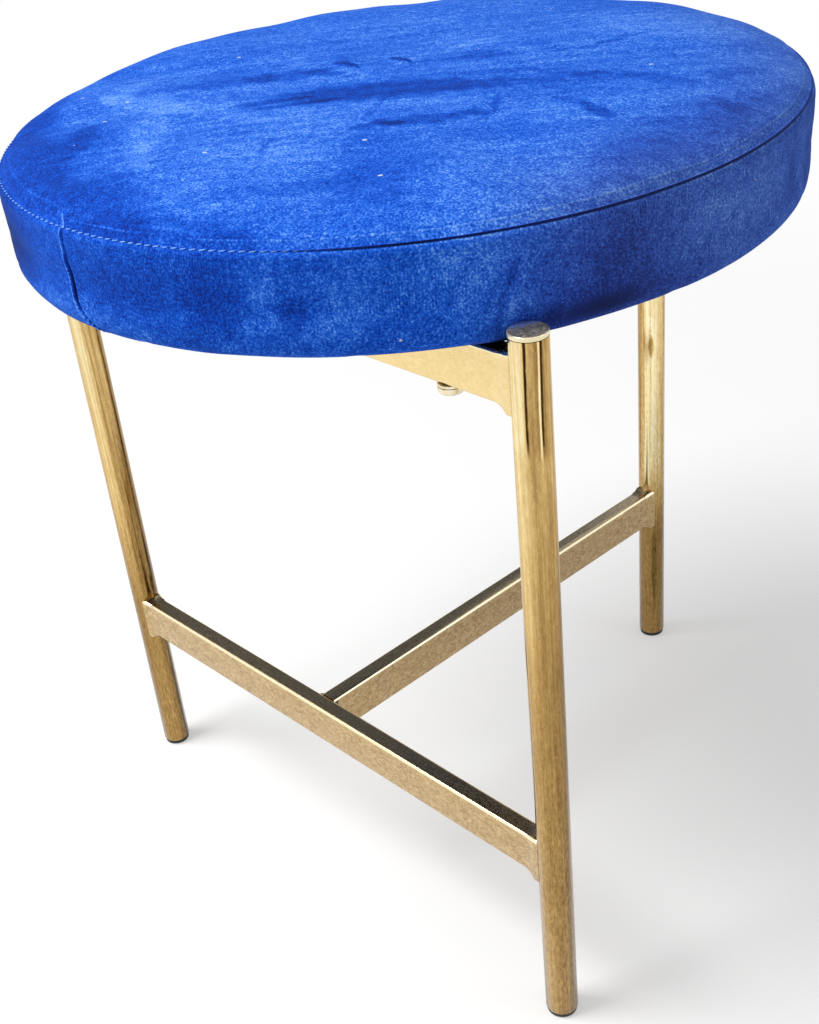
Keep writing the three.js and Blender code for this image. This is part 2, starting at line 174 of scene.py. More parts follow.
def paint(red, green, blue):
    """A colour as a screen shows it, 0 to 255, for a shader socket."""
    parts = [c / 255 for c in (red, green, blue)]
    return tuple(c / 12.92 if c < 0.04045 else ((c + 0.055) / 1.055) ** 2.4 for c in parts) + (1,)


def feed(tree, socket, value):
    """Sets a socket to a value, or links it to the socket that feeds it."""
    if isinstance(value, bpy.types.NodeSocket):
        tree.links.new(value, socket)
    else:
        socket.default_value = value


def lay(tree, kind, feeds=None, **settings):
    """Adds one shader node. Feeds are its sockets' values, or the sockets that feed them."""
    made = tree.nodes.new("ShaderNode" + kind)
    for key, value in settings.items():
        setattr(made, key, value)
    for key, value in (feeds or {}).items():
        feed(tree, made.inputs[key], value)
    return made


def sums(tree, operation, *values, clamp=False):
    """One Math node, from its values or feeds."""
    made = lay(tree, "Math", dict(enumerate(values)), operation=operation, use_clamp=clamp)
    return made.outputs[0]


def vectors(tree, operation, *values):
    """One VectorMath node, from its values or feeds. Gives its number where it makes one."""
    made = lay(tree, "VectorMath", dict(enumerate(values)), operation=operation)
    return made.outputs["Value" if operation in ("LENGTH", "DOT_PRODUCT") else "Vector"]


def blend(tree, factor, under, over):
    """Mixes two colours: under at factor 0, over at 1."""
    colours = {"Factor": factor, 6: under, 7: over}
    return lay(tree, "Mix", colours, data_type="RGBA").outputs[2]


def swayed(tree, value, cloud, amount):
    """A value moved up and down by a cloud that is 0.5 on average."""
    return sums(tree, "MULTIPLY_ADD", sums(tree, "SUBTRACT", cloud, 0.5), amount, value)


def eased(tree, value, low, high):
    """Runs smoothly from 0 at low to 1 at high."""
    feeds = {"Value": value, "From Min": low, "From Max": high}
    made = lay(tree, "MapRange", feeds, interpolation_type="SMOOTHSTEP")
    return made.outputs["Result"]


def shades(tree, value, *stops):
    """A colour ramp, from pairs of a place and a colour."""
    made = lay(tree, "ValToRGB", {"Fac": value})
    band = made.color_ramp.elements
    band[0].position, band[0].color = stops[0]
    band[1].position, band[1].color = stops[-1]
    for place, colour in stops[1:-1]:
        band.new(place).color = colour
    return made.outputs["Color"]


def grain(tree, place, scale, detail=3, roughness=0.55, distortion=0.0):
    """Cloudy noise, about 0.5 on average."""
    feeds = {"Vector": place, "Scale": scale, "Detail": detail, "Roughness": roughness,
             "Distortion": distortion}
    return lay(tree, "TexNoise", feeds).outputs["Fac"]


def moved(tree, place, scale, turn=0.0):
    """A place turned about Z and then scaled, so that a pattern stretches along the turn."""
    if turn:
        place = lay(tree, "Mapping", {"Vector": place, "Rotation": (0, 0, -turn)}).outputs["Vector"]
    return lay(tree, "Mapping", {"Vector": place, "Scale": scale}).outputs["Vector"]


def new_group(name, inputs, outputs):
    """An empty shader group, with its input node and output node."""
    tree = bpy.data.node_groups.new(name, "ShaderNodeTree")
    for way, sockets in (("INPUT", inputs), ("OUTPUT", outputs)):
        for socket, kind in sockets.items():
            tree.interface.new_socket(socket, in_out=way, socket_type="NodeSocket" + kind)
    return tree, tree.nodes.new("NodeGroupInput").outputs, tree.nodes.new("NodeGroupOutput").inputs


def place_group(tree, group, feeds):
    """Puts a group into a material."""
    return lay(tree, "Group", feeds, node_tree=group).outputs


def new_finish(name):
    """A material with a Principled shader, and its Object coordinates."""
    finish = bpy.data.materials.new(name)
    finish.use_nodes = True
    tree = finish.node_tree
    shader = tree.nodes["Principled BSDF"]
    place = lay(tree, "TexCoord").outputs["Object"]
    return finish, tree, shader, place


def coat(tree, shader, feeds, height, strength, depth):
    """Feeds a Principled shader, and roughens it with a bump."""
    bump = lay(tree, "Bump", {"Height": height, "Strength": strength, "Distance": depth})
    for key, value in {**feeds, "Normal": bump.outputs["Normal"]}.items():
        feed(tree, shader.inputs[key], value)


def gold_plating():
    """Gold plate: tone from brown to cream, which the pieces use for painted reflections, clouded
    and flecked, with fine polishing marks.
    """
    inputs = {"Place": "Vector", "Tone": "Float", "Cloud": "Float", "Fleck": "Float",
              "Pale": "Float"}
    outputs = {"Colour": "Color", "Roughness": "Float", "Height": "Float"}
    tree, given, result = new_group("gold_plating", inputs, outputs)
    cloud = grain(tree, given["Place"], 1.0, 4, 0.6, 1.3)
    fleck = grain(tree, given["Place"], 3.7, 3, 0.65, 1.6)
    mark = grain(tree, given["Place"], 14.0, 2)
    tone = swayed(tree, given["Tone"], cloud, given["Cloud"])
    bright = eased(tree, fleck, 0.56, 0.78)
    tone = sums(tree, "MULTIPLY_ADD", bright, given["Fleck"], tone, clamp=True)
    colour = shades(tree, tone, (0.0, paint(48, 35, 18)), (0.2, paint(128, 99, 54)),
                    (0.42, paint(178, 143, 86)), (0.62, paint(214, 181, 119)),
                    (0.82, paint(243, 219, 161)), (1.0, paint(255, 244, 200)))
    kept = sums(tree, "SUBTRACT", 1.0, given["Pale"])
    colour = lay(tree, "HueSaturation", {"Color": colour, "Saturation": kept}).outputs["Color"]
    feed(tree, result["Colour"], colour)
    feed(tree, result["Roughness"], sums(tree, "MULTIPLY_ADD", cloud, 0.16, 0.07))
    feed(tree, result["Height"], sums(tree, "MULTIPLY_ADD", mark, 0.3, cloud))
    return tree


plating = gold_plating()


def gold(name, tone, stretch, cloud, fleck, pale=0.0, dust=0.0, top_face_colour=(150, 144, 128), edge=0.0):
    """Gold plate of one piece. Stretch is how close its clouding lies along X, Y and Z. Faces that
    look up turn, in patches, towards a given top-face colour, which on the rails is a near-black
    painted shade. Edges that slope get a painted highlight."""
    finish, tree, shader, place = new_finish(name)
    if callable(tone):
        tone = tone(tree, place)
    upright = lay(tree, "NewGeometry").outputs["Normal"]
    upright = lay(tree, "SeparateXYZ", {"Vector": upright}).outputs["Z"]
    # Faces that look up, in patches, turn towards the top-face colour: painted shade on the rails.
    patch = eased(tree, grain(tree, place, 640, 3, 0.6), 0.66, 0.5)
    level = sums(tree, "MULTIPLY", eased(tree, upright, 0.9, 0.99), patch)
    upper = eased(tree, upright, 0.8, 0.96)
    # Edges that slope are painted lighter: a painted highlight.
    sloping_highlight = sums(tree, "SUBTRACT", eased(tree, upright, 0.04, 0.25), upper)
    tone = sums(tree, "MULTIPLY_ADD", sloping_highlight, edge, tone)
    plate = place_group(tree, plating, {"Place": moved(tree, place, stretch), "Tone": tone,
                                        "Cloud": cloud, "Fleck": fleck, "Pale": pale})
    top_face_share = sums(tree, "MULTIPLY", level, dust)
    feeds = {"Metallic": 1.0, "Base Color": blend(tree, top_face_share, plate["Colour"], paint(*top_face_colour)),
             "Roughness": sums(tree, "MULTIPLY_ADD", top_face_share, 0.16, plate["Roughness"])}
    coat(tree, shader, feeds, plate["Height"], 0.04, plate_grain)
    return finish


def leg_painted_reflections(tree, place, leg):
    """Painted reflection streaks round a leg: crisp near its top, blurred and broken lower down."""
    low_tone, high_tone, rise_from, rise_to = leg_reflection_rise[leg]
    around = lay(tree, "UVMap", uv_map="round").outputs["UV"]
    split = lay(tree, "SeparateXYZ", {"Vector": around}).outputs
    wander = grain(tree, moved(tree, place, (60, 60, 9)), 1.0, 2)
    turn = sums(tree, "FRACT", swayed(tree, split["X"], wander, 0.05))

    def greys(*stops):
        return shades(tree, turn, *[(at, (tone, tone, tone, 1)) for at, tone in stops])
    crisp = greys(*leg_reflection_streaks[leg])
    blurred = greys((0.0, 0.5), (0.12, 0.66), (0.25, 0.5), (0.4, 0.68), (0.55, 0.52),
                    (0.66, 0.76), (0.78, 0.76), (0.86, 0.58), (0.93, 0.56), (1.0, 0.5))
    height = swayed(tree, split["Y"], wander, 0.06)
    tone = blend(tree, eased(tree, height, *leg_reflection_crisp[leg]), blurred, crisp)
    thread = grain(tree, moved(tree, place, (700, 700, 14)), 1.0, 2)
    speck = grain(tree, moved(tree, place, (950, 950, 230)), 1.0, 3, 0.7)
    rough = sums(tree, "MULTIPLY_ADD", eased(tree, height, 0.28, 0.06), 0.8, 0.3)
    tone = swayed(tree, swayed(tree, tone, thread, 0.6), speck, rough)
    raised = eased(tree, height, rise_from, rise_to)
    tone = sums(tree, "MULTIPLY", tone, sums(tree, "MULTIPLY_ADD", raised, high_tone, low_tone))
    for at, level, half_turn, half_rise, shade in leg_reflection_marks[leg]:
        across = sums(tree, "DIVIDE", sums(tree, "SUBTRACT", turn, at), half_turn)
        up = sums(tree, "DIVIDE", sums(tree, "SUBTRACT", split["Y"], level), half_rise)
        away = vectors(tree, "LENGTH", lay(tree, "CombineXYZ", {"X": across, "Y": up}).outputs[0])
        tone = sums(tree, "MULTIPLY_ADD", eased(tree, away, 1.0, 0.4), shade, tone)
    return tone


def wrap_round(piece, centre, turn):
    """A UV map whose U runs once round an upright axis, and whose V is the height."""
    mesh = piece.data
    layer = mesh.uv_layers.get("round") or mesh.uv_layers.new(name="round")
    for face in mesh.polygons:
        corners = [mesh.vertices[mesh.loops[i].vertex_index].co for i in face.loop_indices]
        angles = [math.atan2(c.y - centre.y, c.x - centre.x) / math.tau + turn for c in corners]
        for i, corner, angle in zip(face.loop_indices, corners, angles):
            layer.data[i].uv = (angle - round(angle - angles[0]), corner.z)


leg_axes = {}
for place in leg_places:
    low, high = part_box(f"leg_{place}")
    leg_radius = (high.x - low.x) / 2
    leg_axes[place] = (low + high) / 2
    tube = start(bpy.ops.mesh.primitive_cylinder_add, vertices=96, radius=leg_radius,
                 depth=high.z - low.z, end_fill_type="NOTHING", location=leg_axes[place])
    work(tube, "SOLIDIFY", thickness=tube_wall, offset=-1)
    work(tube, "BEVEL", width=tube_rim, segments=2, limit_method="ANGLE")
    tube_gold = gold(f"gold_{place}_leg", lambda tree, spot, leg=place:
                     leg_painted_reflections(tree, spot, leg), (330, 330, 80), cloud=0.24, fleck=0.24)
    settle(tube, f"{place}_leg_tube", tube_gold, "gold_tube", f"leg_{place}")
    wrap_round(tube, leg_axes[place], leg_reflection_turns[place])

# Leg caps
# A thin turned disc lies on each tube and closes it, held by a plug inside. Its top is painted
# a mottled grey-brown for the dark surroundings it mirrors, with a painted blue reflection of the
# seat on its inner side, and its rounded rim has a painted highlight.
cap_thickness = 2.0 * MM
cap_edge = 0.6 * MM
plug_radius = 7.0 * MM
# Radius from the seat's middle inside which the cap shows its painted blue reflection of the seat,
# and how soft and ragged that edge is.
seat_reflection_radius = 198.5 * MM
cap_blur = 1 * MM
cap_ragged = 14 * MM
cap_grain = 0.2 * MM


def cap_gold_painted_reflections():
    """Dull gold plate painted grey-brown as a dark reflection, with a painted blue reflection of the
    seat beside it and a painted highlight on its rounded rim.
    """
    finish, tree, shader, place = new_finish("gold_cap")
    patch = grain(tree, place, 330, 4, 0.65, 0.5)
    speck = grain(tree, place, 900, 2, 0.6)
    tone = sums(tree, "MULTIPLY_ADD", speck, 0.6, sums(tree, "MULTIPLY_ADD", patch, 0.9, -0.12))
    upright = lay(tree, "NewGeometry").outputs["Normal"]
    # A painted highlight on the rounded rim, where the top turns down.
    rim = eased(tree, lay(tree, "SeparateXYZ", {"Vector": upright}).outputs["Z"], 0.96, 0.6)
    tone = sums(tree, "ADD", tone, rim, clamp=True)
    colour = shades(tree, tone, (0.28, paint(62, 55, 42)), (0.5, paint(126, 116, 92)),
                    (0.7, paint(186, 172, 138)), (1.0, paint(250, 238, 198)))
    # A painted blue reflection of the seat on the cap's inner side.
    inward = vectors(tree, "SUBTRACT", place, leg_middle)
    inward = vectors(tree, "LENGTH", vectors(tree, "MULTIPLY", inward, (1, 1, 0)))
    inward = swayed(tree, inward, patch, cap_ragged)
    blue = sums(tree, "MULTIPLY", eased(tree, inward, seat_reflection_radius + cap_blur, seat_reflection_radius - cap_blur),
                sums(tree, "SUBTRACT", 1.0, rim))
    colour = blend(tree, sums(tree, "MULTIPLY", blue, 0.8), colour, paint(158, 190, 240))
    feeds = {"Base Color": colour, "Metallic": 0.55,
             "Roughness": sums(tree, "MULTIPLY_ADD", patch, 0.2, 0.16)}
    coat(tree, shader, feeds, tone, 0.12, cap_grain)
    return finish


leg_middle = sum(leg_axes.values(), Vector()) / 3
cap_gold = cap_gold_painted_reflections()
for place in leg_places:
    low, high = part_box(f"leg_cap_{place}")
    middle = leg_axes[place].xy.to_3d() + Vector((0, 0, high.z - cap_thickness / 2))
    cap = start(bpy.ops.mesh.primitive_cylinder_add, vertices=96, radius=leg_radius,
                depth=cap_thickness, location=middle)
    bpy.ops.object.mode_set(mode="EDIT")
    pick(cap, "EDGE", lambda edge: all(v.co.z > 0 for v in edge.verts))
    bpy.ops.mesh.bevel(offset=cap_edge, segments=4)
    pick(cap, "FACE", lambda face: face.normal.z < -0.9)
    bpy.ops.mesh.inset(thickness=leg_radius - plug_radius)
    bpy.ops.mesh.extrude_region_move(
        TRANSFORM_OT_translate={"value": (0, 0, low.z - high.z + cap_thickness)})
    bpy.ops.object.mode_set(mode="OBJECT")
    settle(cap, f"{place}_leg_cap", cap_gold, "gold_cap", f"leg_cap_{place}")

# Foot glides
# Black plastic glides with a ribbed stem pressed into each tube. Their lower edge is
# rounded and scuffed by the floor.
glide_edge = 0.9 * MM
stem_rib = 0.25 * MM
stem_ribs = 3
tube_gap = 0.3 * MM
scuff_depth = 0.1 * MM


def scuffed_plastic():
    """Black moulded plastic, greyer where it is scuffed."""
    finish, tree, shader, place = new_finish("glide_plastic")
    scuff = eased(tree, grain(tree, place, 420, 5, 0.7), 0.52, 0.72)
    colour = shades(tree, scuff, (0.0, paint(18, 17, 16)), (1.0, paint(62, 60, 57)))
    feeds = {"Base Color": colour, "Roughness": sums(tree, "MULTIPLY_ADD", scuff, 0.25, 0.45)}
    coat(tree, shader, feeds, scuff, 0.3, scuff_depth)
    return finish


glide_plastic = scuffed_plastic()
glide_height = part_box("leg_back")[0].z - tube_gap
for place in leg_places:
    low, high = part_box(f"foot_glide_{place}")
    glide_radius = (high.x - low.x) / 2
    middle = leg_axes[place].xy.to_3d() + Vector((0, 0, glide_height / 2))
    glide = start(bpy.ops.mesh.primitive_cylinder_add, vertices=64, radius=glide_radius,
                  depth=glide_height, location=middle)
    bpy.ops.object.mode_set(mode="EDIT")
    pick(glide, "EDGE", lambda edge: all(v.co.z < 0 for v in edge.verts))
    bpy.ops.mesh.bevel(offset=glide_edge, segments=4)
    pick(glide, "FACE", lambda face: face.normal.z > 0.9)
    bpy.ops.mesh.inset(thickness=glide_radius - plug_radius + stem_rib)
    rib_pitch = (high.z - glide_height) / (2 * stem_ribs)
    for i in range(2 * stem_ribs):
        swell = (plug_radius + stem_rib) / plug_radius
        swell = swell if i % 2 == 0 else 1 / swell
        bpy.ops.mesh.extrude_region_move(TRANSFORM_OT_translate={"value": (0, 0, rib_pitch)})
        bpy.ops.transform.resize(value=(swell, swell, 1), center_override=middle)
    bpy.ops.object.mode_set(mode="OBJECT")
    settle(glide, f"{place}_foot_glide", glide_plastic, "glide", f"foot_glide_{place}")

# Stretchers and rails
# Rectangular tube stands on edge between the front legs, and from its middle to the back
# leg, low down and again right under the seat. Its ends are coped to the round legs.
bar_height = 24 * MM
bar_depth = 10.5 * MM
bar_corner = 1.5 * MM
cope_gap = 0.3 * MM
screw_hole = 3.5 * MM
screw_from_leg = 46 * MM


def leg_tool(place, height):
    """An upright cylinder as wide as a leg, to cope a bar or a weld."""
    middle = leg_axes[place].xy.to_3d() + Vector((0, 0, height))
    return start(bpy.ops.mesh.primitive_cylinder_add, vertices=96,
                 radius=leg_radius + cope_gap, depth=3 * bar_height, location=middle)


def hole_tool(spot, height):
    """An upright cylinder as wide as a screw's hole."""
    return start(bpy.ops.mesh.primitive_cylinder_add, vertices=32, radius=screw_hole,
                 depth=2 * bar_height, location=(spot.x, spot.y, height))


def bar_tube(begin, end, along):
    """Rectangular tube between two points, along X or Y, with rounded edges and open ends."""
    size = Vector((bar_depth, bar_depth, bar_height))
    size[along] = abs(end[along] - begin[along])
    bar = start(bpy.ops.mesh.primitive_cube_add, size=1, location=(begin + end) / 2, scale=size)
    bpy.ops.object.transform_apply(location=False, rotation=False, scale=True)
    bpy.ops.object.mode_set(mode="EDIT")
    pick(bar, "EDGE", lambda e: abs(e.verts[0].co[along] - e.verts[1].co[along]) > bar_height)
    bpy.ops.mesh.bevel(offset=bar_corner, segments=5)
    pick(bar, "FACE", lambda face: abs(face.normal[along]) > 0.9)
    bpy.ops.mesh.delete(type="ONLY_FACE")
    bpy.ops.object.mode_set(mode="OBJECT")
    work(bar, "SOLIDIFY", thickness=tube_wall, offset=-1)
    return bar


lengthwise = {0: (260, 420, 420), 1: (420, 260, 420)}
# Each level's kind of bar, its tone, clouding and paleness, and the colour its upward faces turn
# to. The levels' tones differ as painted reflections on one plate, and the rails' near-black
# upward faces are painted shade.
levels = {
    "lower": ("stretcher", 0.5, 0.75, 0.16, (150, 144, 128)),
    "upper": ("rail", 0.76, 0.26, 0.0, (24, 20, 14)),
}
bar_golds, bar_middles, tee_backs = {}, {}, {}
screw_spots = {
    "back": leg_axes["back"] - Vector((0, screw_from_leg, 0)),
    "front_right": leg_axes["front_right"] - Vector((screw_from_leg, 0, 0)),
    "front_left": leg_axes["front_left"] + Vector((screw_from_leg, 0, 0)),
}
for level, (kind, tone, cloud, pale, top_face_colour) in levels.items():
    low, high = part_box(f"{level}_cross_{kind}")
    bar_middle = bar_middles[level] = (low.z + high.z) / 2
    tee_backs[level] = high.y
    left, right, rear = (
        Vector((leg_axes[place].x, leg_axes[place].y, bar_middle))
        for place in ("front_left", "front_right", "back"))
    near = Vector((rear.x, high.y + cope_gap, bar_middle))
    # Each stem's tone is set a little darker than its cross bar's: a painted reflection.
    for part, begin, end, along, legs, darker in (
            ("cross", left, right, 0, ("front_left", "front_right"), 0.0),
            ("stem", near, rear, 1, ("back",), 0.03)):
        bar = bar_tube(begin, end, along)
        tools = [leg_tool(leg, bar_middle) for leg in legs]
        if level == "upper":
            tools += [hole_tool(screw_spots[leg], bar_middle) for leg in legs]
        carve(bar, *tools)
        bar_gold = gold(f"gold_{level}_{part}", tone - darker, lengthwise[along], cloud,
                        0.45 * cloud, pale=pale, dust=0.8, top_face_colour=top_face_colour, edge=0.55)
        bar_golds[level, part] = bar_gold
        settle(bar, f"{level}_{part}_bar", bar_gold, "gold_tube", f"{level}_{part}_{kind}")

# Welds
# Each bar's end is welded to its leg all round. The weld is ground to a hollow fillet and
# plated with the tubes. A small bead fills the corners where a stem meets its cross bar.
weld_below = 3.4 * MM
weld_above = 1.4 * MM
weld_side = 1.4 * MM
weld_length = 8.5 * MM
weld_steps = 14
weld_curve = 2.0
weld_skin = 0.03 * MM
bead_size = 3.4 * MM


def leg_weld(place, towards, height):
    """The fillet round the bar that leaves a leg in the given direction."""
    side = Vector((-towards.y, towards.x, 0))
    axis = leg_axes[place].xy.to_3d() + Vector((0, 0, height))
    flush = axis + towards * (leg_radius + weld_length)
    ring = start(bpy.ops.mesh.primitive_plane_add, size=1, location=flush,
                 rotation=(math.pi / 2, 0, math.atan2(towards.y, towards.x) + math.pi / 2))
    wide, tall = bar_depth + 2 * weld_skin, bar_height + 2 * weld_skin
    ring.scale = (wide, tall, 1)
    bpy.ops.object.transform_apply(location=True, rotation=True, scale=True)
    bpy.ops.object.mode_set(mode="EDIT")
    bpy.ops.mesh.select_all(action="SELECT")
    bpy.ops.mesh.bevel(offset=bar_corner, segments=5, affect="VERTICES")
    deep = weld_above + weld_below
    still = axis + Vector((0, 0, tall * (0.5 - weld_above / deep)))
    reach = 0.0
    bpy.ops.mesh.select_all(action="SELECT")
    for i in range(weld_steps + 1):
        inward = weld_length / weld_steps if i < weld_steps else leg_radius / 2
        before = reach
        reach = min((i + 1) / weld_steps, 1) ** weld_curve
        grow_side = (wide + 2 * weld_side * reach) / (wide + 2 * weld_side * before)
        grow_tall = (tall + deep * reach) / (tall + deep * before)
        bpy.ops.mesh.extrude_region_move(
            TRANSFORM_OT_translate={"value": tuple(-towards * inward)})
        grow = [abs(side[k]) * grow_side + abs(towards[k]) for k in (0, 1)]
        bpy.ops.transform.resize(value=(*grow, grow_tall), center_override=still)
    bpy.ops.mesh.select_all(action="SELECT")
    bpy.ops.mesh.normals_make_consistent(inside=False)
    bpy.ops.object.mode_set(mode="OBJECT")
    size = Vector([abs(towards[k]) * 4 * weld_length + abs(side[k]) * (bar_depth + weld_skin)
                   for k in range(3)])
    size.z = bar_height + weld_skin
    bar = start(bpy.ops.mesh.primitive_cube_add, size=1, scale=size,
                location=axis + towards * leg_radius)
    leg = leg_tool(place, height)
    leg.scale = ((leg_radius + weld_skin) / (leg_radius + cope_gap),) * 2 + (1,)
    carve(ring, leg, bar)
    return ring


def tee_bead(corner, side, height):
    """A concave bead that stands in the corner between a stem and its cross bar."""
    middle = (corner.x + side * bead_size / 2, corner.y + bead_size / 2, height)
    bead = start(bpy.ops.mesh.primitive_cube_add, size=1, location=middle,
                 scale=(bead_size, bead_size, bar_height - 2 * bar_corner))
    bpy.ops.object.transform_apply(location=False, rotation=False, scale=True)
    bpy.ops.object.mode_set(mode="EDIT")
    pick(bead, "EDGE", lambda e: all(v.co.x * side > 0 and v.co.y > 0 for v in e.verts))
    bpy.ops.mesh.bevel(offset=0.94 * bead_size, segments=8, profile=0.18)
    bpy.ops.object.mode_set(mode="OBJECT")
    return bead


weld_ways = {"back": Vector((0, -1, 0)), "front_right": Vector((-1, 0, 0)),
             "front_left": Vector((1, 0, 0))}
for level in levels:
    for place, towards in weld_ways.items():
        weld = leg_weld(place, towards, bar_middles[level])
        settle(weld, f"{level}_{place}_leg_weld", bar_golds[level, "cross"], "gold_weld",
               f"weld_{level}_{place}", smooth=40)
    for name, side in (("right", 1), ("left", -1)):
        corner = Vector((side * bar_depth / 2, tee_backs[level], 0))
        bead = tee_bead(corner, side, bar_middles[level])
        settle(bead, f"{level}_{name}_tee_bead", bar_golds[level, "cross"], "gold_weld",
               f"weld_{level}_tee_{name}")

# Seat screws and washers
# Three zinc plated screws with low domed heads and cross recesses come up through the upper
# rails into the board, each over a flat washer.
recess_span = 6 * MM
recess_width = 1.3 * MM
recess_depth = 1.8 * MM
recess_turn = 0.4
head_dome = 2.2 * MM
head_height = 3.6 * MM
shank_radius = 3 * MM
screw_tip = 0.8 * MM
tip_share = 0.73
washer_rim = 0.15 * MM
scratch_depth = 0.05 * MM


def zinc(name, tone, rough, dark=(150, 152, 156), light=(214, 216, 220)):
    """Zinc plate on steel, with cloudy patches and fine scratches."""
    finish, tree, shader, place = new_finish(name)
    cloud = grain(tree, place, 260, 5, 0.65)
    scratch = grain(tree, moved(tree, place, (2400, 300, 300), 0.6), 1.0, 2)
    dark, light = [tuple(c * tone for c in pair) for pair in (dark, light)]
    colour = shades(tree, cloud, (0.3, paint(*dark)), (0.7, paint(*light)))
    feeds = {"Metallic": 1.0, "Base Color": colour,
             "Roughness": sums(tree, "MULTIPLY_ADD", scratch, 0.2, rough)}
    coat(tree, shader, feeds, scratch, 0.15, scratch_depth)
    return finish


screw_zinc = zinc("yellow_zinc", 1.0, 0.3, (232, 216, 176), (255, 248, 224))
for place, spot in screw_spots.items():
    low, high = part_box(f"screw_washer_{place}")
    ring_radius = (high.x - low.x) / 2
    middle = Vector((spot.x, spot.y, (low.z + high.z) / 2))
    washer = start(bpy.ops.mesh.primitive_cylinder_add, vertices=64, radius=ring_radius,
                   depth=high.z - low.z, end_fill_type="NOTHING", location=middle)
    work(washer, "SOLIDIFY", thickness=ring_radius - screw_hole, offset=-1)
    work(washer, "BEVEL", width=washer_rim, segments=2, limit_method="ANGLE")
    settle(washer, f"{place}_screw_washer", screw_zinc, "zinc_steel", f"screw_washer_{place}")

    low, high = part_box(f"seat_screw_{place}")
    head_radius = (high.x - low.x) / 2
    middle = Vector((spot.x, spot.y, low.z + head_height / 2))
    screw = start(bpy.ops.mesh.primitive_cylinder_add, vertices=64, radius=head_radius,
                  depth=head_height, location=middle)
    bpy.ops.object.mode_set(mode="EDIT")
    pick(screw, "EDGE", lambda edge: all(v.co.z < 0 for v in edge.verts))
    bpy.ops.mesh.bevel(offset=head_dome, segments=8)
    pick(screw, "FACE", lambda face: face.normal.z > 0.9)
    bpy.ops.mesh.inset(thickness=head_radius - shank_radius)
    bpy.ops.mesh.extrude_region_move(
        TRANSFORM_OT_translate={"value": (0, 0, high.z - low.z - head_height - screw_tip)})
    bpy.ops.mesh.extrude_region_move(TRANSFORM_OT_translate={"value": (0, 0, screw_tip)})
    bpy.ops.transform.resize(value=(tip_share, tip_share, 1), center_override=middle)
    bpy.ops.object.mode_set(mode="OBJECT")
    slots = [start(bpy.ops.mesh.primitive_cube_add, size=1,
                   location=(spot.x, spot.y, low.z), rotation=(0, 0, turn),
                   scale=(recess_span, recess_width, 2 * recess_depth))
             for turn in (recess_turn, recess_turn + math.pi / 2)]
    carve(screw, *slots)
    settle(screw, f"{place}_seat_screw", screw_zinc, "zinc_steel", f"seat_screw_{place}")

# Seat board and tee nuts
# A disc of birch plywood carries the cushion. Tee nuts pressed into its top take the screws.
# The board and the nuts keep the frame's own solids.
ply_thick = 1.5 * MM
wood_grain = 0.2 * MM


def plywood():
    """Birch plywood: pale faces with long grain, and plies that show on the edge."""
    finish, tree, shader, place = new_finish("birch_plywood")
    fibre = grain(tree, moved(tree, place, (9, 240, 240)), 1.0, 6, 0.6)
    face = shades(tree, fibre, (0.3, paint(196, 158, 108)), (0.7, paint(228, 198, 150)))
    height = lay(tree, "SeparateXYZ", {"Vector": place}).outputs["Z"]
    ply = sums(tree, "PINGPONG", height, ply_thick)
    dark = sums(tree, "MULTIPLY", eased(tree, ply, 0.4 * ply_thick, 0.733 * ply_thick), 0.35)
    feeds = {"Base Color": blend(tree, dark, face, paint(128, 92, 56)), "Roughness": 0.75}
    coat(tree, shader, feeds, fibre, 0.2, wood_grain)
    return finish


def dress(node, finish):
    """Gives a solid of the frame its finish."""
    shown = nodes[node]
    for slot in shown.material_slots:
        slot.material = finish


board_plywood = plywood()
dress("seat_board", board_plywood)
nut_zinc = zinc("zinc_nut", 0.92, 0.28)
for place in leg_places:
    dress(f"tee_nut_{place}", nut_zinc)

# Foam pad and wadding
# A round pad of upholstery foam with a skirt round the board, under a layer of polyester
# wadding. Both are hidden by the cover.
cell_depth = 0.5 * MM
joined_under = 0.01 * MM
drawn_in = 0.15 * MM
foam_voxel = 4 * MM
wadding_voxel = 2.5 * MM


def soft_stuff(name, low, high, scale, rough_bump):
    """Foam or wadding: pale, with open cells or fibres."""
    finish, tree, shader, place = new_finish(name)
    cell = lay(tree, "TexVoronoi", {"Vector": place, "Scale": scale}).outputs["Distance"]
    cloud = grain(tree, place, 40, 4)
    tone = sums(tree, "MULTIPLY_ADD", cell, 0.5, sums(tree, "MULTIPLY", cloud, 0.6))
    feeds = {"Base Color": shades(tree, tone, (0.2, low), (0.8, high)), "Roughness": 0.95}
    coat(tree, shader, feeds, cell, rough_bump, cell_depth)
    return finish


def padding(node, name, voxel, finish, slot):
    """A soft layer, rounded and evened out from the solid that holds its place."""
    bpy.ops.object.select_all(action="DESELECT")
    layer = nodes[node].copy()
    layer.data = nodes[node].data.copy()
    layer.parent = None
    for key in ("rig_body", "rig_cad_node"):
        del layer[key]
    bpy.context.scene.collection.objects.link(layer)
    work(layer, "WELD", merge_threshold=joined_under)
    work(layer, "REMESH", mode="VOXEL", voxel_size=voxel)
    work(layer, "SMOOTH", factor=0.5, iterations=3)
    work(layer, "DISPLACE", strength=-drawn_in, mid_level=0)
    settle(layer, name, finish, slot, node, smooth=60)


foam = soft_stuff("upholstery_foam", paint(206, 190, 142), paint(240, 230, 196), scale=900,
                  rough_bump=0.6)
padding("foam_pad", "foam_cushion_pad", foam_voxel, foam, "foam")
wadding = soft_stuff("polyester_wadding", paint(222, 222, 218), paint(248, 248, 246), scale=500,
                     rough_bump=0.8)
padding("wadding_layer", "polyester_wadding", wadding_voxel, wadding, "wadding")

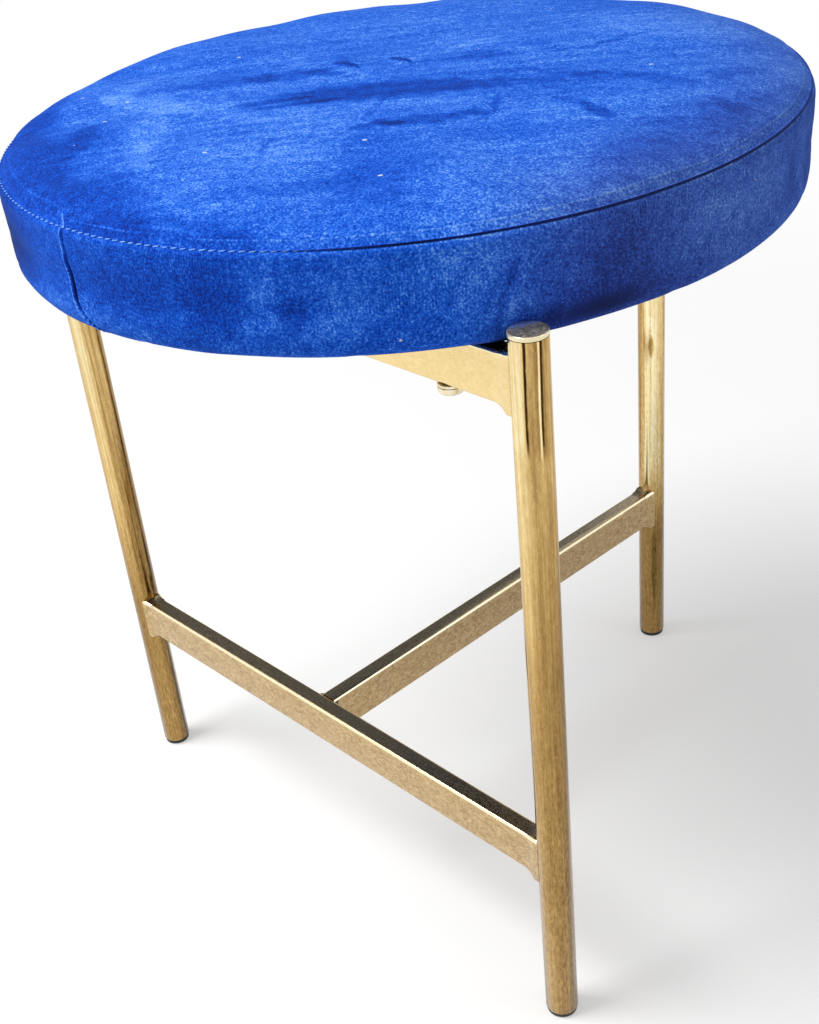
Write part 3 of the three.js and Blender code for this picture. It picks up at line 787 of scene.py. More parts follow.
# Velvet cover
# A round top panel and a boxing band of royal blue velvet are seamed together over the
# wadding. The band is closed by one upright join and turned under the board. The leg tops
# press into it.
low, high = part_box("cover_boxing_band")
seat_x, seat_y = (low.x + high.x) / 2, (low.y + high.y) / 2
band_radius = (high.x - low.x) / 2
band_bottom = low.z
seam_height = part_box("cover_top_panel")[0].z
band_height = seam_height - band_bottom
crown_rise = 14 * MM
cloth = 1.2 * MM
cloth_clear = 0.6 * MM
normal_reach = 0.5 * MM
turn_under = 152.5 * MM
punched_hole = 5.5 * MM
leg_angles = [math.radians(a) for a in (90, -30, -150)]
leg_circle = 202 * MM
leg_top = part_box("leg_cap_back")[1].z
# The seam: its groove, the width of the shade in it, and where its turned-in edges end
# under the cloth, near the stitches' high side and away from it.
stitches_high = math.radians(-105)
seam_gap = 0.12 * MM
seam_gap_fades = 4 * MM
groove_depth = 0.95 * MM
groove_width = 0.42 * MM
groove_shade = 0.32 * MM
allowance_near = 4.4 * MM
allowance_far = 5 * MM
allowance_lift = 0.4 * MM
allowance_slope = 0.8 * MM
# Lights and shades beside the seam: place from the edge or the seam, and width.
edge_light = (0, 0.4 * MM)
edge_shade = (1.1 * MM, 0.8 * MM)
second_edge = (3.4 * MM, 0.7 * MM)
lip_light = (1.1 * MM, 0.5 * MM)
# The band's upright join: a ridge with a groove on its right, each with its place and width,
# that leans over at the bottom and ends in a stub above the seam.
join_angle = math.radians(-90.2)
join_ridge, join_rise = (-1.1 * MM, 1.0 * MM), 0.8 * MM
join_groove, join_sink = (0.6 * MM, 0.7 * MM), 1.1 * MM
join_light = (-1.4 * MM, 0.8 * MM)
join_shade = (0.2 * MM, 0.6 * MM)
stub_light = (-1.1 * MM, 0.9 * MM)
join_deepens = 26 * MM
join_lean = 13 * MM
join_straight_down_to = 404 * MM
join_lean_height = 16 * MM
stub_end = 7 * MM
stub_lean = 0.8
stub_light_fades = 2 * MM
stub_ridge_fades = 3 * MM
# Where the leg tops press in, and how the cover bulges over them.
dent_spread = 11.5 * MM
dent_rise = 13 * MM
dent_inner = 186 * MM
dent_fades_from = leg_top + 1 * MM
bulge = 1.1 * MM
bulge_spread = 17 * MM
bulge_reach = (176 * MM, 182 * MM)
bulge_below = (-396 * MM, -388 * MM)
# Painted shade low on the band beside each leg: its spread, the height it starts below, and its fade.
bulge_shade_spread = 20 * MM
bulge_shade_height = 389.5 * MM
bulge_shade_fades = 2 * MM
# Steps of the mesh away from the seam.
first_step = 0.2 * MM
fine_step = 0.36 * MM
fine_until = allowance_far + 2 * MM
top_step = 3.2 * MM
band_step = 1.8 * MM
peak_clear = 4 * MM
# Columns once round, and the finer ones near the legs and the join: half width and number.
columns_round = 324
leg_columns = (0.17, 41)
join_columns = (0.06, 73)
join_columns_aside = 0.025
# Slow unevenness: height, length and place in the noise, and how far from the seam or the
# bottom it is whole. Small gathers stand in the turned-under edge.
top_waves = ((0.5 * MM, 70 * MM, 3.1), (0.16 * MM, 22 * MM, 8.4))
band_waves = ((0.4 * MM, 40 * MM, 5.7), (0.14 * MM, 13 * MM, 1.9))
ragged_wave = (5, 9 * MM, 4.4)
top_free = 12 * MM
band_free = 10 * MM
gather_rise = 0.22 * MM
gather_inner = (168 * MM, 176 * MM)
gather_outer = (-188 * MM, -180 * MM)
gathers_near = 58
# Where painted shade greys and dims the pile on the right, from the seat's middle.
right_shade_reach = (120 * MM, 194 * MM)
# The cloth simulation's share: slack at the start, limit, and evening out round the seat.
slack_in = 1.6 * MM
wobble_size = 0.25 * MM
swell_limit = 5 * MM
swell_evening = 11 * MM
swell_evening_inner = 4 * MM
held_up_to = band_bottom + 1 * MM
blow_frames = 20

crown_outline = [
    (-0.31, 1), (0, 0.985), (0.31, 1), (0.56, 0.965), (0.74, 0.87), (0.84, 0.75), (0.9, 0.62),
    (0.942, 0.46), (0.975, 0.24), (0.992, 0),
]
band_outline = [
    (0.992, 1), (1, 0.93), (1.001, 0.75), (0.998, 0.52), (0.999, 0.25), (0.988, 0.1),
    (0.958, 0.03), (0.925, 0), (turn_under / band_radius, 0),
]


def curve_through(points, per_span=16):
    """Points close together on a smooth curve through the given ones."""
    p = np.array(points, float)
    ends = np.vstack([2 * p[0] - p[1], p, 2 * p[-1] - p[-2]])
    t = np.linspace(0, 1, per_span, endpoint=False)[:, None]
    spans = [0.5 * (2 * b + (c - a) * t + (2 * a - 5 * b + 4 * c - d) * t ** 2
                    + (3 * b - a - 3 * c + d) * t ** 3)
             for a, b, c, d in zip(ends, ends[1:], ends[2:], ends[3:])]
    return np.vstack(spans + [p[-1:]])


def arc(line):
    """The length of an outline."""
    return float(np.hypot(*np.diff(line, axis=0).T).sum())


def at_distances(line, distances):
    """Points and outward normals at distances along an outline."""
    run = np.concatenate([[0], np.cumsum(np.hypot(*np.diff(line, axis=0).T))])

    def points_at(places):
        return np.stack([np.interp(places, run, line[:, k]) for k in (0, 1)], 1)
    points = points_at(distances)
    along = points_at(distances + normal_reach) - points_at(distances - normal_reach)
    along /= np.linalg.norm(along, axis=1)[:, None]
    return points, np.stack([-along[:, 1], along[:, 0]], 1)


def growing(largest, end):
    """Distances from the seam: close together over the seam allowance, then further apart."""
    places, step = [0.0], first_step
    while places[-1] + step < end:
        places.append(places[-1] + step)
        fine = places[-1] < fine_until
        step = min(step * 1.15, fine_step if fine else largest)
    if end - places[-1] < step / 2:
        places.pop()
    return np.array(places + [end])


def round_angles(base, finer):
    """Angles once round the seat, closer together where more detail is asked for."""
    angles = set(np.round(np.linspace(0, math.tau, base, endpoint=False), 5))
    for centre, half, count in finer:
        near = {a for a in angles if abs(math.remainder(a - centre, math.tau)) < half}
        angles -= near
        fine = np.linspace(centre - half, centre + half, count) % math.tau
        angles |= set(np.round(fine, 5))
    return np.array(sorted(angles))


def crown_line():
    line = curve_through([(r * band_radius, seam_height + z * crown_rise)
                          for r, z in crown_outline])
    return line[line[:, 0] >= -1e-9][::-1]


def band_line():
    return curve_through([(r * band_radius, band_bottom + z * band_height)
                          for r, z in band_outline])


def between(value, low, high):
    """Runs straight from 0 at low to 1 at high."""
    return np.clip((value - low) / (high - low), 0, 1)


def rounded(share):
    """A share from 0 to 1, eased at both ends."""
    return share * share * (3 - 2 * share)


def hump(value, middle, width):
    """1 at the middle, fading out over the width."""
    return np.exp(-((value - middle) / width) ** 2)


def away_from(angle, middle):
    """An angle counted from a middle, from minus to plus half a turn."""
    return np.remainder(angle - middle + math.pi, math.tau) - math.pi


def near_legs(angle, width):
    return sum(hump(away_from(angle, leg) * band_radius, 0, width) for leg in leg_angles)


def leg_dent(angle, radius, height):
    """How far the leg tops press the cover in."""
    needed = band_radius - (leg_circle - leg_radius - cloth_clear)
    pressed = sum(needed * np.exp(-(band_radius * np.abs(away_from(angle, leg)) / dent_spread) ** 2.2)
                  for leg in leg_angles)
    above = rounded(between(height, dent_fades_from, dent_fades_from + dent_rise))
    return pressed * (1 - above) * between(radius, dent_inner, band_radius)


def along_path(angle, height, path, width):
    """1 along a path of (degrees, height in mm) on the band, fading out over the width."""
    nearest = np.full(np.broadcast(angle, height).shape, 1.0)
    points = [(math.radians(a), h * MM) for a, h in path]
    for (turn0, y0), (turn1, y1) in zip(points, points[1:]):
        x, y = away_from(angle, turn0) * band_radius, height - y0
        dx, dy = (turn1 - turn0) * band_radius, y1 - y0
        t = np.clip((x * dx + y * dy) / (dx * dx + dy * dy), 0, 1)
        nearest = np.minimum(nearest, np.hypot(x - t * dx, y - t * dy))
    return hump(nearest, 0, width)


# Creases round each leg top: path in degrees from the leg and mm, depth, width and tone:
# painted shade where the tone is below zero, painted highlight where above.
leg_creases = [
    ([(-3.3, 391), (-2.2, 404), (-1.2, 414), (-0.4, 421)], -0.9 * MM, 1.7 * MM, -0.22),
    ([(-5.5, 390), (-4.6, 401), (-3.4, 410)], -0.35 * MM, 2.0 * MM, -0.12),
    ([(2.6, 392), (3.8, 400), (5.5, 406)], -0.3 * MM, 2.6 * MM, -0.1),
    ([(-0.8, 399), (1.2, 401)], 1.2 * MM, 4.6 * MM, 0.2),
    ([(-1.9, 396), (-1.0, 409), (0.2, 418)], 0.5 * MM, 1.8 * MM, 0.14),
]
# Loose pulls in the band away from the legs: path in degrees and mm, depth, width, tone:
# painted shade where the tone is below zero, painted highlight where above.
band_pulls = [
    ([(-152, 390), (-122, 390)], -2.6 * MM, 10 * MM, 0.0),
    ([(-66, 391), (-63, 398), (-62, 406)], -0.4 * MM, 2.2 * MM, 0.2),
    ([(-59.5, 402), (-58, 413), (-58.5, 424)], 0.35 * MM, 2.6 * MM, 0.2),
    ([(-50, 388), (-48, 398)], -0.35 * MM, 2.2 * MM, -0.12),
    ([(-79, 388), (-77.5, 396)], -0.3 * MM, 1.8 * MM, 0.2),
    ([(-9, 388), (-6, 398), (-4, 409)], -0.3 * MM, 3.0 * MM, -0.1),
    ([(19, 396), (15, 409), (16, 424)], -0.5 * MM, 1.9 * MM, -0.2),
    ([(24, 394), (22.5, 409), (24, 423)], -0.4 * MM, 2.0 * MM, -0.2),
    ([(21, 396), (19, 410), (20, 424)], 0.4 * MM, 1.8 * MM, 0.16),
    ([(130, 386), (128, 399), (131, 412)], -0.4 * MM, 2.6 * MM, -0.16),
    ([(172, 387), (175, 398)], -0.35 * MM, 2.4 * MM, -0.16),
    ([(-118, 386), (-114, 397), (-113, 409)], -0.35 * MM, 2.4 * MM, -0.16),
]
# All the band's folds in one list: path, depth, width, tone and the tone's width. The tone is
# painted shade below zero and painted highlight above.
folds = [(path, depth, width, shade, 0.8 * width) for path, depth, width, shade in band_pulls]
folds += [([(math.degrees(leg) + a, h) for a, h in path], depth, width, shade, 1.3 * width)
          for leg in leg_angles for path, depth, width, shade in leg_creases]
# Patches on the band, partly brushed pile and partly painted light and shade: degrees, mm, half
# sizes, tone.
band_patches = [
    (-128, 412, 20, 34, -0.6), (-108, 414, 11, 24, -0.3), (-104, 397, 5, 5, 0.12),
    (-97, 398, 5, 8, 0.2), (-89, 397, 4, 6, 0.18), (-83, 396, 4, 5, 0.12),
    (-78, 414, 9, 15, -0.2), (-66, 415, 5, 16, -0.14), (-60.5, 417, 1.4, 13, 0.3),
    (-56.5, 411, 2.4, 5, -0.3), (-52, 412, 4, 16, 0.12), (-45, 400, 5, 9, -0.08),
    (-37, 418, 4, 20, 0.14), (-34, 400, 3, 10, 0.1), (-32, 428, 6, 7, 0.1),
    (-22, 395, 8, 7, -0.5), (-17, 412, 6, 22, -0.24), (-10, 395, 8, 8, -0.16),
    (4, 416, 12, 20, 0.18), (16, 410, 2, 18, -0.14), (26, 408, 5, 20, -0.2),
    (33, 420, 6, 16, -0.1), (60, 410, 14, 20, 0.08), (100, 404, 12, 14, -0.1),
    (140, 416, 16, 16, 0.1), (178, 400, 12, 14, -0.1), (-152, 414, 9, 18, 0.06),
]
# Wide brushed marks on the top, from the seat's middle in mm: start, end, width, strength.
top_strokes = [
    ((-20, -56), (12, -30), 15, -0.22), ((-8, -46), (52, 2), 23, -0.38),
    ((18, -24), (72, 18), 14, -0.21), ((52, 6), (96, 44), 10, -0.2),
    ((66, 34), (116, 47), 9, -0.12), ((110, 46), (142, 53), 8, -0.16),
    ((56, -62), (88, -28), 9.5, -0.34), ((-104, -80), (-84, -60), 8, -0.09),
    ((-90, -62), (-54, -32), 17, -0.2), ((-64, -38), (-34, -14), 14, -0.26),
    ((-42, -18), (-20, -14), 8, -0.2), ((-98, -44), (-62, -14), 10, -0.09),
    ((-132, -40), (-96, 4), 14, -0.08), ((-176, -60), (-150, -20), 14, -0.09),
    ((-48, 10), (-30, -2), 8, -0.16), ((2, 24), (30, 54), 13, -0.13),
    ((24, 76), (44, 66), 9, -0.09), ((66, -76), (118, -120), 34, -0.12),
    ((96, -100), (86, -118), 12, -0.09), ((-172, -84), (-138, -126), 22, -0.29),
    ((-142, -122), (-98, -160), 26, -0.38), ((-108, -152), (-34, -184), 28, -0.4),
    ((-78, -126), (-56, -154), 13, -0.25), ((-46, -180), (46, -192), 26, -0.34),
    ((-24, -160), (34, -172), 11, -0.14), ((40, -186), (96, -172), 13, -0.2),
    ((-132, -112), (-116, -138), 8, -0.16), ((96, -172), (150, -124), 12, -0.09),
    ((173, -56), (173, 56), 24, -0.16), ((142, 66), (152, 88), 11, -0.2),
    ((164, 40), (180, 32), 9, -0.25), ((-124, -62), (-106, -98), 15, 0.14),
    ((-112, -92), (-58, -90), 20, 0.16), ((-64, -84), (-18, -84), 17, 0.12),
    ((-62, -98), (-24, -136), 17, 0.16), ((-28, -132), (2, -154), 9, 0.12),
    ((-98, -118), (-80, -136), 12, 0.1), ((-6, -90), (40, -70), 22, 0.06),
    ((96, -30), (146, 30), 24, 0.06), ((-130, 20), (-60, 90), 50, 0.06),
    ((20, 130), (110, 130), 40, 0.1),
    ((-90, -130), (-40, -160), 30, -0.12), ((10, -120), (80, -110), 22, 0.05),
]
darkest_stroke = -0.4


def brushed(x, y):
    """Tone of the wide brushed marks at places on the top, in mm from its middle."""
    tone = 0 * x
    for (x0, y0), (x1, y1), width, strength in top_strokes:
        dx, dy = x1 - x0, y1 - y0
        share = np.clip(((x - x0) * dx + (y - y0) * dy) / (dx * dx + dy * dy), 0, 1)
        off = np.hypot(x - x0 - share * dx, y - y0 - share * dy)
        inside = np.clip((1 - off / (width * (1 - 0.55 * (2 * share - 1) ** 2))) / 0.75, 0, 1)
        tone = tone + strength * rounded(inside)
    return np.maximum(tone, darkest_stroke)


def sunk(angle):
    """0 where the stitches lie on top of the seam, to 1 where they have sunk into it."""
    return rounded(between(-np.cos(angle - stitches_high), -0.8, -0.48))


def allowance(angle):
    """How far from the seam its turned-in edges reach under the cloth."""
    share = between(-np.cos(angle - stitches_high), -0.8, -0.22)
    waves = 1 + 0.04 * np.sin(13 * angle) + 0.03 * np.sin(29 * angle + 1.3)
    return (allowance_near + (allowance_far - allowance_near) * share) * waves


def seam_form(distance, angle):
    """The groove at the seam, and the ridge over the seam allowance, at a distance from it."""
    groove = groove_depth * (0.3 + 0.7 * sunk(angle)) * hump(distance, 0, groove_width)
    reach = allowance(angle)
    return allowance_lift * rounded(between(-distance, -reach, allowance_slope - reach)) - groove


def join_across(angle, height):
    """Distance to the right of the upright join, which leans over at the bottom."""
    below = between(join_straight_down_to - height, 0, join_lean_height)
    return band_radius * away_from(angle, join_angle) - join_lean * below ** 2


def stub_across(angle, distance):
    """Distance to the right of the join's stub on the top, at a distance from the seam."""
    return band_radius * away_from(angle, join_angle) + stub_lean * distance


def join_form(angle, height):
    """The upright join in the band: a rounded ridge with a groove close on its right."""
    across = join_across(angle, height)
    deep = np.clip((seam_height - height) / join_deepens, 0.25, 1)
    return join_rise * hump(across, *join_ridge) - join_sink * deep * hump(across, *join_groove)


def painted_right_shade(angle, radius):
    """How much painted shade greys and dims the pile: outer parts on the right, from 0 to 1."""
    turn = np.degrees(away_from(angle, 0))
    side = between(turn, -40, -14) * between(-turn, -100, -55)
    return rounded(side) * between(radius, *right_shade_reach) ** 2


def seam_shade(distance, angle):
    """Painted shade in the groove of the seam."""
    return -(0.06 + 0.74 * sunk(angle)) * hump(distance, 0, groove_shade)


def top_pile_tone(distance, angle, radius, height):
    """Top pile tone: painted shade in the seam groove, painted highlights beside it and on the stub,
    and the brushed marks.
    """
    deep = sunk(angle)
    broken = 0.55 + 0.45 * np.sin(11 * angle + 2 * np.sin(5 * angle))
    broken = broken + (1 - broken) * deep
    past = distance - allowance(angle)
    edge = hump(past, *edge_light) - 0.3 * hump(past, *edge_shade)
    second = hump(past, *second_edge) * (1 - deep)
    stub = between(-distance, -stub_end, stub_light_fades - stub_end)
    ragged = softness(angle, radius, height, *ragged_wave)
    return (seam_shade(distance, angle) + (0.36 - 0.12 * deep) * edge * broken
            + 0.2 * second * (1 - broken)
            + 0.6 * stub * hump(stub_across(angle, distance), *stub_light)
            + brushed(radius * np.cos(angle) / MM + ragged,
                      radius * np.sin(angle) / MM - 0.7 * ragged))


def band_pile_tone(distance, angle, height):
    """Band pile tone: painted shade and highlights at the seam, join, folds and low by the legs,
    and patches.
    """
    across = join_across(angle, height)
    dark = np.clip((seam_height - height) / join_deepens, 0.15, 1)
    low = between(-height, -bulge_shade_height, bulge_shade_fades - bulge_shade_height)
    tone = (seam_shade(distance, angle) + 0.22 * sunk(angle) * hump(distance, *lip_light)
            + 0.55 * hump(across, *join_light) - 0.75 * dark * hump(across, *join_shade)
            - 0.9 * near_legs(angle, bulge_shade_spread) * low)
    for path, depth, width, shade, shade_width in folds:
        tone = tone + shade * along_path(angle, height, path, shade_width)
    for middle, level, half_turn, half_rise, shade in band_patches:
        turn = away_from(angle, math.radians(middle))
        rise = height - level * MM
        tone = tone + shade * hump(turn, 0, math.radians(half_turn)) * hump(rise, 0, half_rise * MM)
    return tone


def softness(angle, radius, height, rise, length, seed):
    """Slow unevenness of hand-stretched cloth over foam, about the rise up and down."""
    angle, radius, height = np.broadcast_arrays(angle, radius, height)
    x, y = radius * np.cos(angle), radius * np.sin(angle)
    values = [noise.noise(Vector((a, b, c)) / length + Vector((seed, 0, 0)))
              for a, b, c in zip(x.ravel(), y.ravel(), height.ravel())]
    return rise * np.array(values).reshape(x.shape)


def round_points(radius, height, angle):
    """Rows of points from their distances to the seat's axis, their heights and angles."""
    return np.stack([radius * np.cos(angle), radius * np.sin(angle), height + 0 * angle], 2)


def top_cover(line, distances, angles):
    """The finished outer face of the top panel, row by row from the seam, and its pile."""
    points, normals = at_distances(line, distances)
    distance, angle = distances[:, None], angles[None, :]
    radius, height = points[:, :1], points[:, 1:]
    waves = sum(softness(angle, radius, height, *wave) for wave in top_waves)
    push = seam_form(distance, angle) + between(distance, 0, top_free) * waves
    x, y = radius * np.cos(angle), radius * np.sin(angle)
    for cx, cy, depth, width in seat_hollows:
        push = push - depth * np.exp(-((x - cx) ** 2 + (y - cy) ** 2) / width ** 2)
    stub = between(-distance, -stub_end, stub_ridge_fades - stub_end)
    push = push + join_rise * stub * hump(stub_across(angle, distance), *join_ridge)
    tone = top_pile_tone(distance, angle, radius, height)
    grey = painted_right_shade(angle, radius + 0 * angle)
    skin = round_points(radius + push * normals[:, :1], height + push * normals[:, 1:], angle)
    return skin, np.stack([tone, grey], 2)


def band_cover(line, distances, angles):
    """The finished outer face of the band, row by row from the seam, and its pile."""
    points, normals = at_distances(line, distances)
    distance, angle = distances[:, None], angles[None, :]
    radius, height = points[:, :1], points[:, 1:]
    free = between(height, band_bottom, band_bottom + band_free)
    waves = sum(softness(angle, radius, height, *wave) for wave in band_waves)
    push = 0.6 * seam_form(distance, angle) + free * waves
    push = push + join_form(angle, height) * np.clip(free + 0.3, 0, 1)
    for path, depth, width, shade, shade_width in folds:
        push = push + depth * along_path(angle, height, path, width)
    r = radius + push * normals[:, :1] - leg_dent(angle, radius, height)
    z = height + push * normals[:, 1:]
    lip = between(r, *bulge_reach) * between(-z, *bulge_below)
    z = z - bulge * near_legs(angle, bulge_spread) * lip
    gathers = between(r, *gather_inner) * between(-r, *gather_outer)
    z = z + gather_rise * gathers * np.sin(gathers_near * angle + 2 * np.sin(5 * angle))
    tone = band_pile_tone(distance, angle, height)
    grey = painted_right_shade(angle, radius + 0 * angle)
    return round_points(r, z, angle), np.stack([tone, grey], 2)


# Hollows of the top, from the seat's middle: x, y, depth and width.
seat_hollows = [
    (-26 * MM, 5 * MM, 1.8 * MM, 28 * MM),
    (-32 * MM, 0 * MM, 0.9 * MM, 7 * MM),
    (-17 * MM, 9 * MM, -0.5 * MM, 8 * MM),
    (-9 * MM, 18 * MM, 0.8 * MM, 4 * MM),
    (55 * MM, -40 * MM, 0.8 * MM, 46 * MM),
]


def puffed(rows, columns):
    """The cover as a closed skin on a coarse grid, blown up with the seam and edges held.
    Gives how far each point moved from the drawn form."""
    crown, under = crown_line(), band_line()
    crown_run = np.linspace(0, 1, rows)[1:] ** 1.15
    band_run = np.linspace(0, 1, rows)
    angles = np.linspace(0, math.tau, columns, endpoint=False)
    top, top_normals = at_distances(crown, crown_run * arc(crown) * 0.999)
    side, side_normals = at_distances(under, band_run * arc(under))
    outline = np.vstack([top[::-1], side])
    facing = np.vstack([top_normals[::-1], side_normals])
    held = outline[:, 1] < held_up_to
    held[len(top)] = True
    begin = outline - np.where(held, 0, slack_in)[:, None] * facing
    grid = round_points(begin[:, :1], begin[:, 1:], angles[None, :])
    drawn = round_points(outline[:, :1], outline[:, 1:], angles[None, :])
    wobble = np.random.default_rng(7).normal(0, wobble_size, grid.shape)
    wobble[held] = 0
    grid = grid + wobble
    middle_top = np.array([[0, 0, grid[0, :, 2].mean()]])
    middle_low = np.array([[0, 0, band_bottom]])
    skin = bpy.data.meshes.new("skin")
    count = len(outline)
    faces = [(i * columns + j, (i + 1) * columns + j, (i + 1) * columns + (j + 1) % columns,
              i * columns + (j + 1) % columns) for i in range(count - 1) for j in range(columns)]
    peak, base = count * columns, count * columns + 1
    faces += [(peak, j, (j + 1) % columns) for j in range(columns)]
    last = (count - 1) * columns
    faces += [(base, last + (j + 1) % columns, last + j) for j in range(columns)]
    skin.from_pydata(np.vstack([grid.reshape(-1, 3), middle_top, middle_low]).tolist(), [], faces)
    blown = bpy.data.objects.new("skin", skin)
    bpy.context.scene.collection.objects.link(blown)
    pins = [i * columns + j for i in np.nonzero(held)[0] for j in range(columns)] + [base]
    blown.vertex_groups.new(name="held").add([int(p) for p in pins], 1.0, "REPLACE")
    bpy.context.view_layer.objects.active = blown
    modifier = blown.modifiers.new("Cloth", "CLOTH")
    set_up = modifier.settings
    set_up.quality = 6
    set_up.mass = 0.3
    set_up.tension_stiffness = set_up.compression_stiffness = 25
    set_up.shear_stiffness = 12
    set_up.bending_stiffness = 0.6
    set_up.use_pressure = True
    set_up.uniform_pressure_force = 4
    set_up.shrink_min = -0.001
    set_up.vertex_group_mass = "held"
    set_up.effector_weights.gravity = 0
    modifier.collision_settings.use_collision = False
    for number in range(1, blow_frames + 1):
        bpy.context.scene.frame_set(number)
    bpy.ops.object.modifier_apply(modifier=modifier.name)
    after = np.array([v.co for v in blown.data.vertices])[:-2].reshape(count, columns, 3)
    bpy.data.objects.remove(blown)
    bpy.context.scene.frame_set(1)
    shift = after - drawn
    turns = np.stack([np.cos(angles), np.sin(angles)])
    polar = np.stack([shift[:, :, 0] * turns[0] + shift[:, :, 1] * turns[1],
                      shift[:, :, 1] * turns[0] - shift[:, :, 0] * turns[1], shift[:, :, 2]], 2)
    polar -= polar.mean(axis=1, keepdims=True)
    waves = np.fft.rfftfreq(columns, 1 / columns)
    reach = np.maximum(outline[:, :1], swell_evening_inner)
    kept = np.exp(-0.5 * (waves * swell_evening / reach) ** 2)[:, :, None]
    polar = np.fft.irfft(np.fft.rfft(polar, axis=1) * kept, n=columns, axis=1)
    shift = np.stack([polar[:, :, 0] * turns[0] - polar[:, :, 1] * turns[1],
                      polar[:, :, 0] * turns[1] + polar[:, :, 1] * turns[0], polar[:, :, 2]], 2)
    length = np.linalg.norm(shift, axis=2, keepdims=True)
    shift *= np.minimum(1, swell_limit / np.maximum(length, 1e-9))
    return shift, crown_run * arc(crown), band_run * arc(under)


def spread(shift, runs, distances, angles):
    """The blown shift, read off at other distances from the seam and other angles."""
    columns = shift.shape[1]
    at = angles / math.tau * columns
    before = np.floor(at).astype(int) % columns
    part = (at - np.floor(at))[None, :, None]
    level = np.interp(distances, runs, np.arange(len(runs)))
    row = np.minimum(np.floor(level).astype(int), len(runs) - 2)
    share = (level - row)[:, None, None]
    rows = shift[row] * (1 - share) + shift[row + 1] * share
    return rows[:, before] * (1 - part) + rows[:, (before + 1) % columns] * part


def cloth_piece(name, points, tone, angles, distances, closed):
    """A skin from rows of points, with a UV map in metres; it is given its thickness inwards later.
    """
    rows, columns = points.shape[:2]
    mesh = bpy.data.meshes.new(name)
    verts = points.reshape(-1, 3) + np.array([seat_x, seat_y, 0])
    faces, cells = [], []
    for i in range(rows - 1):
        for j in range(columns):
            k = (j + 1) % columns
            faces.append((i * columns + j, i * columns + k, (i + 1) * columns + k,
                          (i + 1) * columns + j))
            cells.append(((i, j), (i, j + 1), (i + 1, j + 1), (i + 1, j)))
    if closed:
        peak = len(verts)
        verts = np.vstack([verts, [[seat_x, seat_y, points[-1, :, 2].mean()]]])
        last = (rows - 1) * columns
        for j in range(columns):
            faces.append((last + j, last + (j + 1) % columns, peak))
            cells.append(((rows - 1, j), (rows - 1, j + 1), (rows - 1, j)))
    mesh.from_pydata(verts.tolist(), [], faces)
    u = np.append(angles, angles[0] + math.tau) * band_radius
    flat = [(u[j], distances[i]) for cell in cells for i, j in cell]
    stood = [tuple(tone[i, j % columns]) for cell in cells for i, j in cell]
    for layer, values in (("cloth", flat), ("pile", stood)):
        made = mesh.uv_layers.new(name=layer)
        made.data.foreach_set("uv", np.array(values, np.float32).ravel())
    piece = bpy.data.objects.new(name, mesh)
    bpy.context.scene.collection.objects.link(piece)
    bpy.ops.object.select_all(action="DESELECT")
    piece.select_set(True)
    bpy.context.view_layer.objects.active = piece
    bpy.ops.object.mode_set(mode="EDIT")
    bpy.ops.mesh.select_all(action="SELECT")
    bpy.ops.mesh.normals_make_consistent(inside=False)
    bpy.ops.object.mode_set(mode="OBJECT")
    return piece


def nap_stroke():
    """Where a hand has brushed the nap one way: 1 along a line, fading to 0 at its width,
    which narrows towards both ends."""
    inputs = {"Place": "Vector", "Start": "Vector", "Along": "Vector", "Width": "Float"}
    tree, given, result = new_group("nap_stroke", inputs, {"Mask": "Float"})
    away = vectors(tree, "SUBTRACT", given["Place"], given["Start"])
    along = vectors(tree, "DOT_PRODUCT", away, given["Along"])
    square = vectors(tree, "DOT_PRODUCT", given["Along"], given["Along"])
    share = sums(tree, "DIVIDE", along, square, clamp=True)
    on_line = lay(tree, "VectorMath", {0: given["Along"], "Scale": share},
                  operation="SCALE").outputs[0]
    distance = vectors(tree, "LENGTH", vectors(tree, "SUBTRACT", away, on_line))
    middle = sums(tree, "MULTIPLY_ADD", share, 2.0, -1.0)
    taper = sums(tree, "MULTIPLY_ADD", sums(tree, "MULTIPLY", middle, middle), -0.55, 1.0)
    width = sums(tree, "MULTIPLY", given["Width"], taper)
    mask = eased(tree, sums(tree, "DIVIDE", distance, width), 1.0, 0.25)
    tree.links.new(mask, result["Mask"])
    return tree


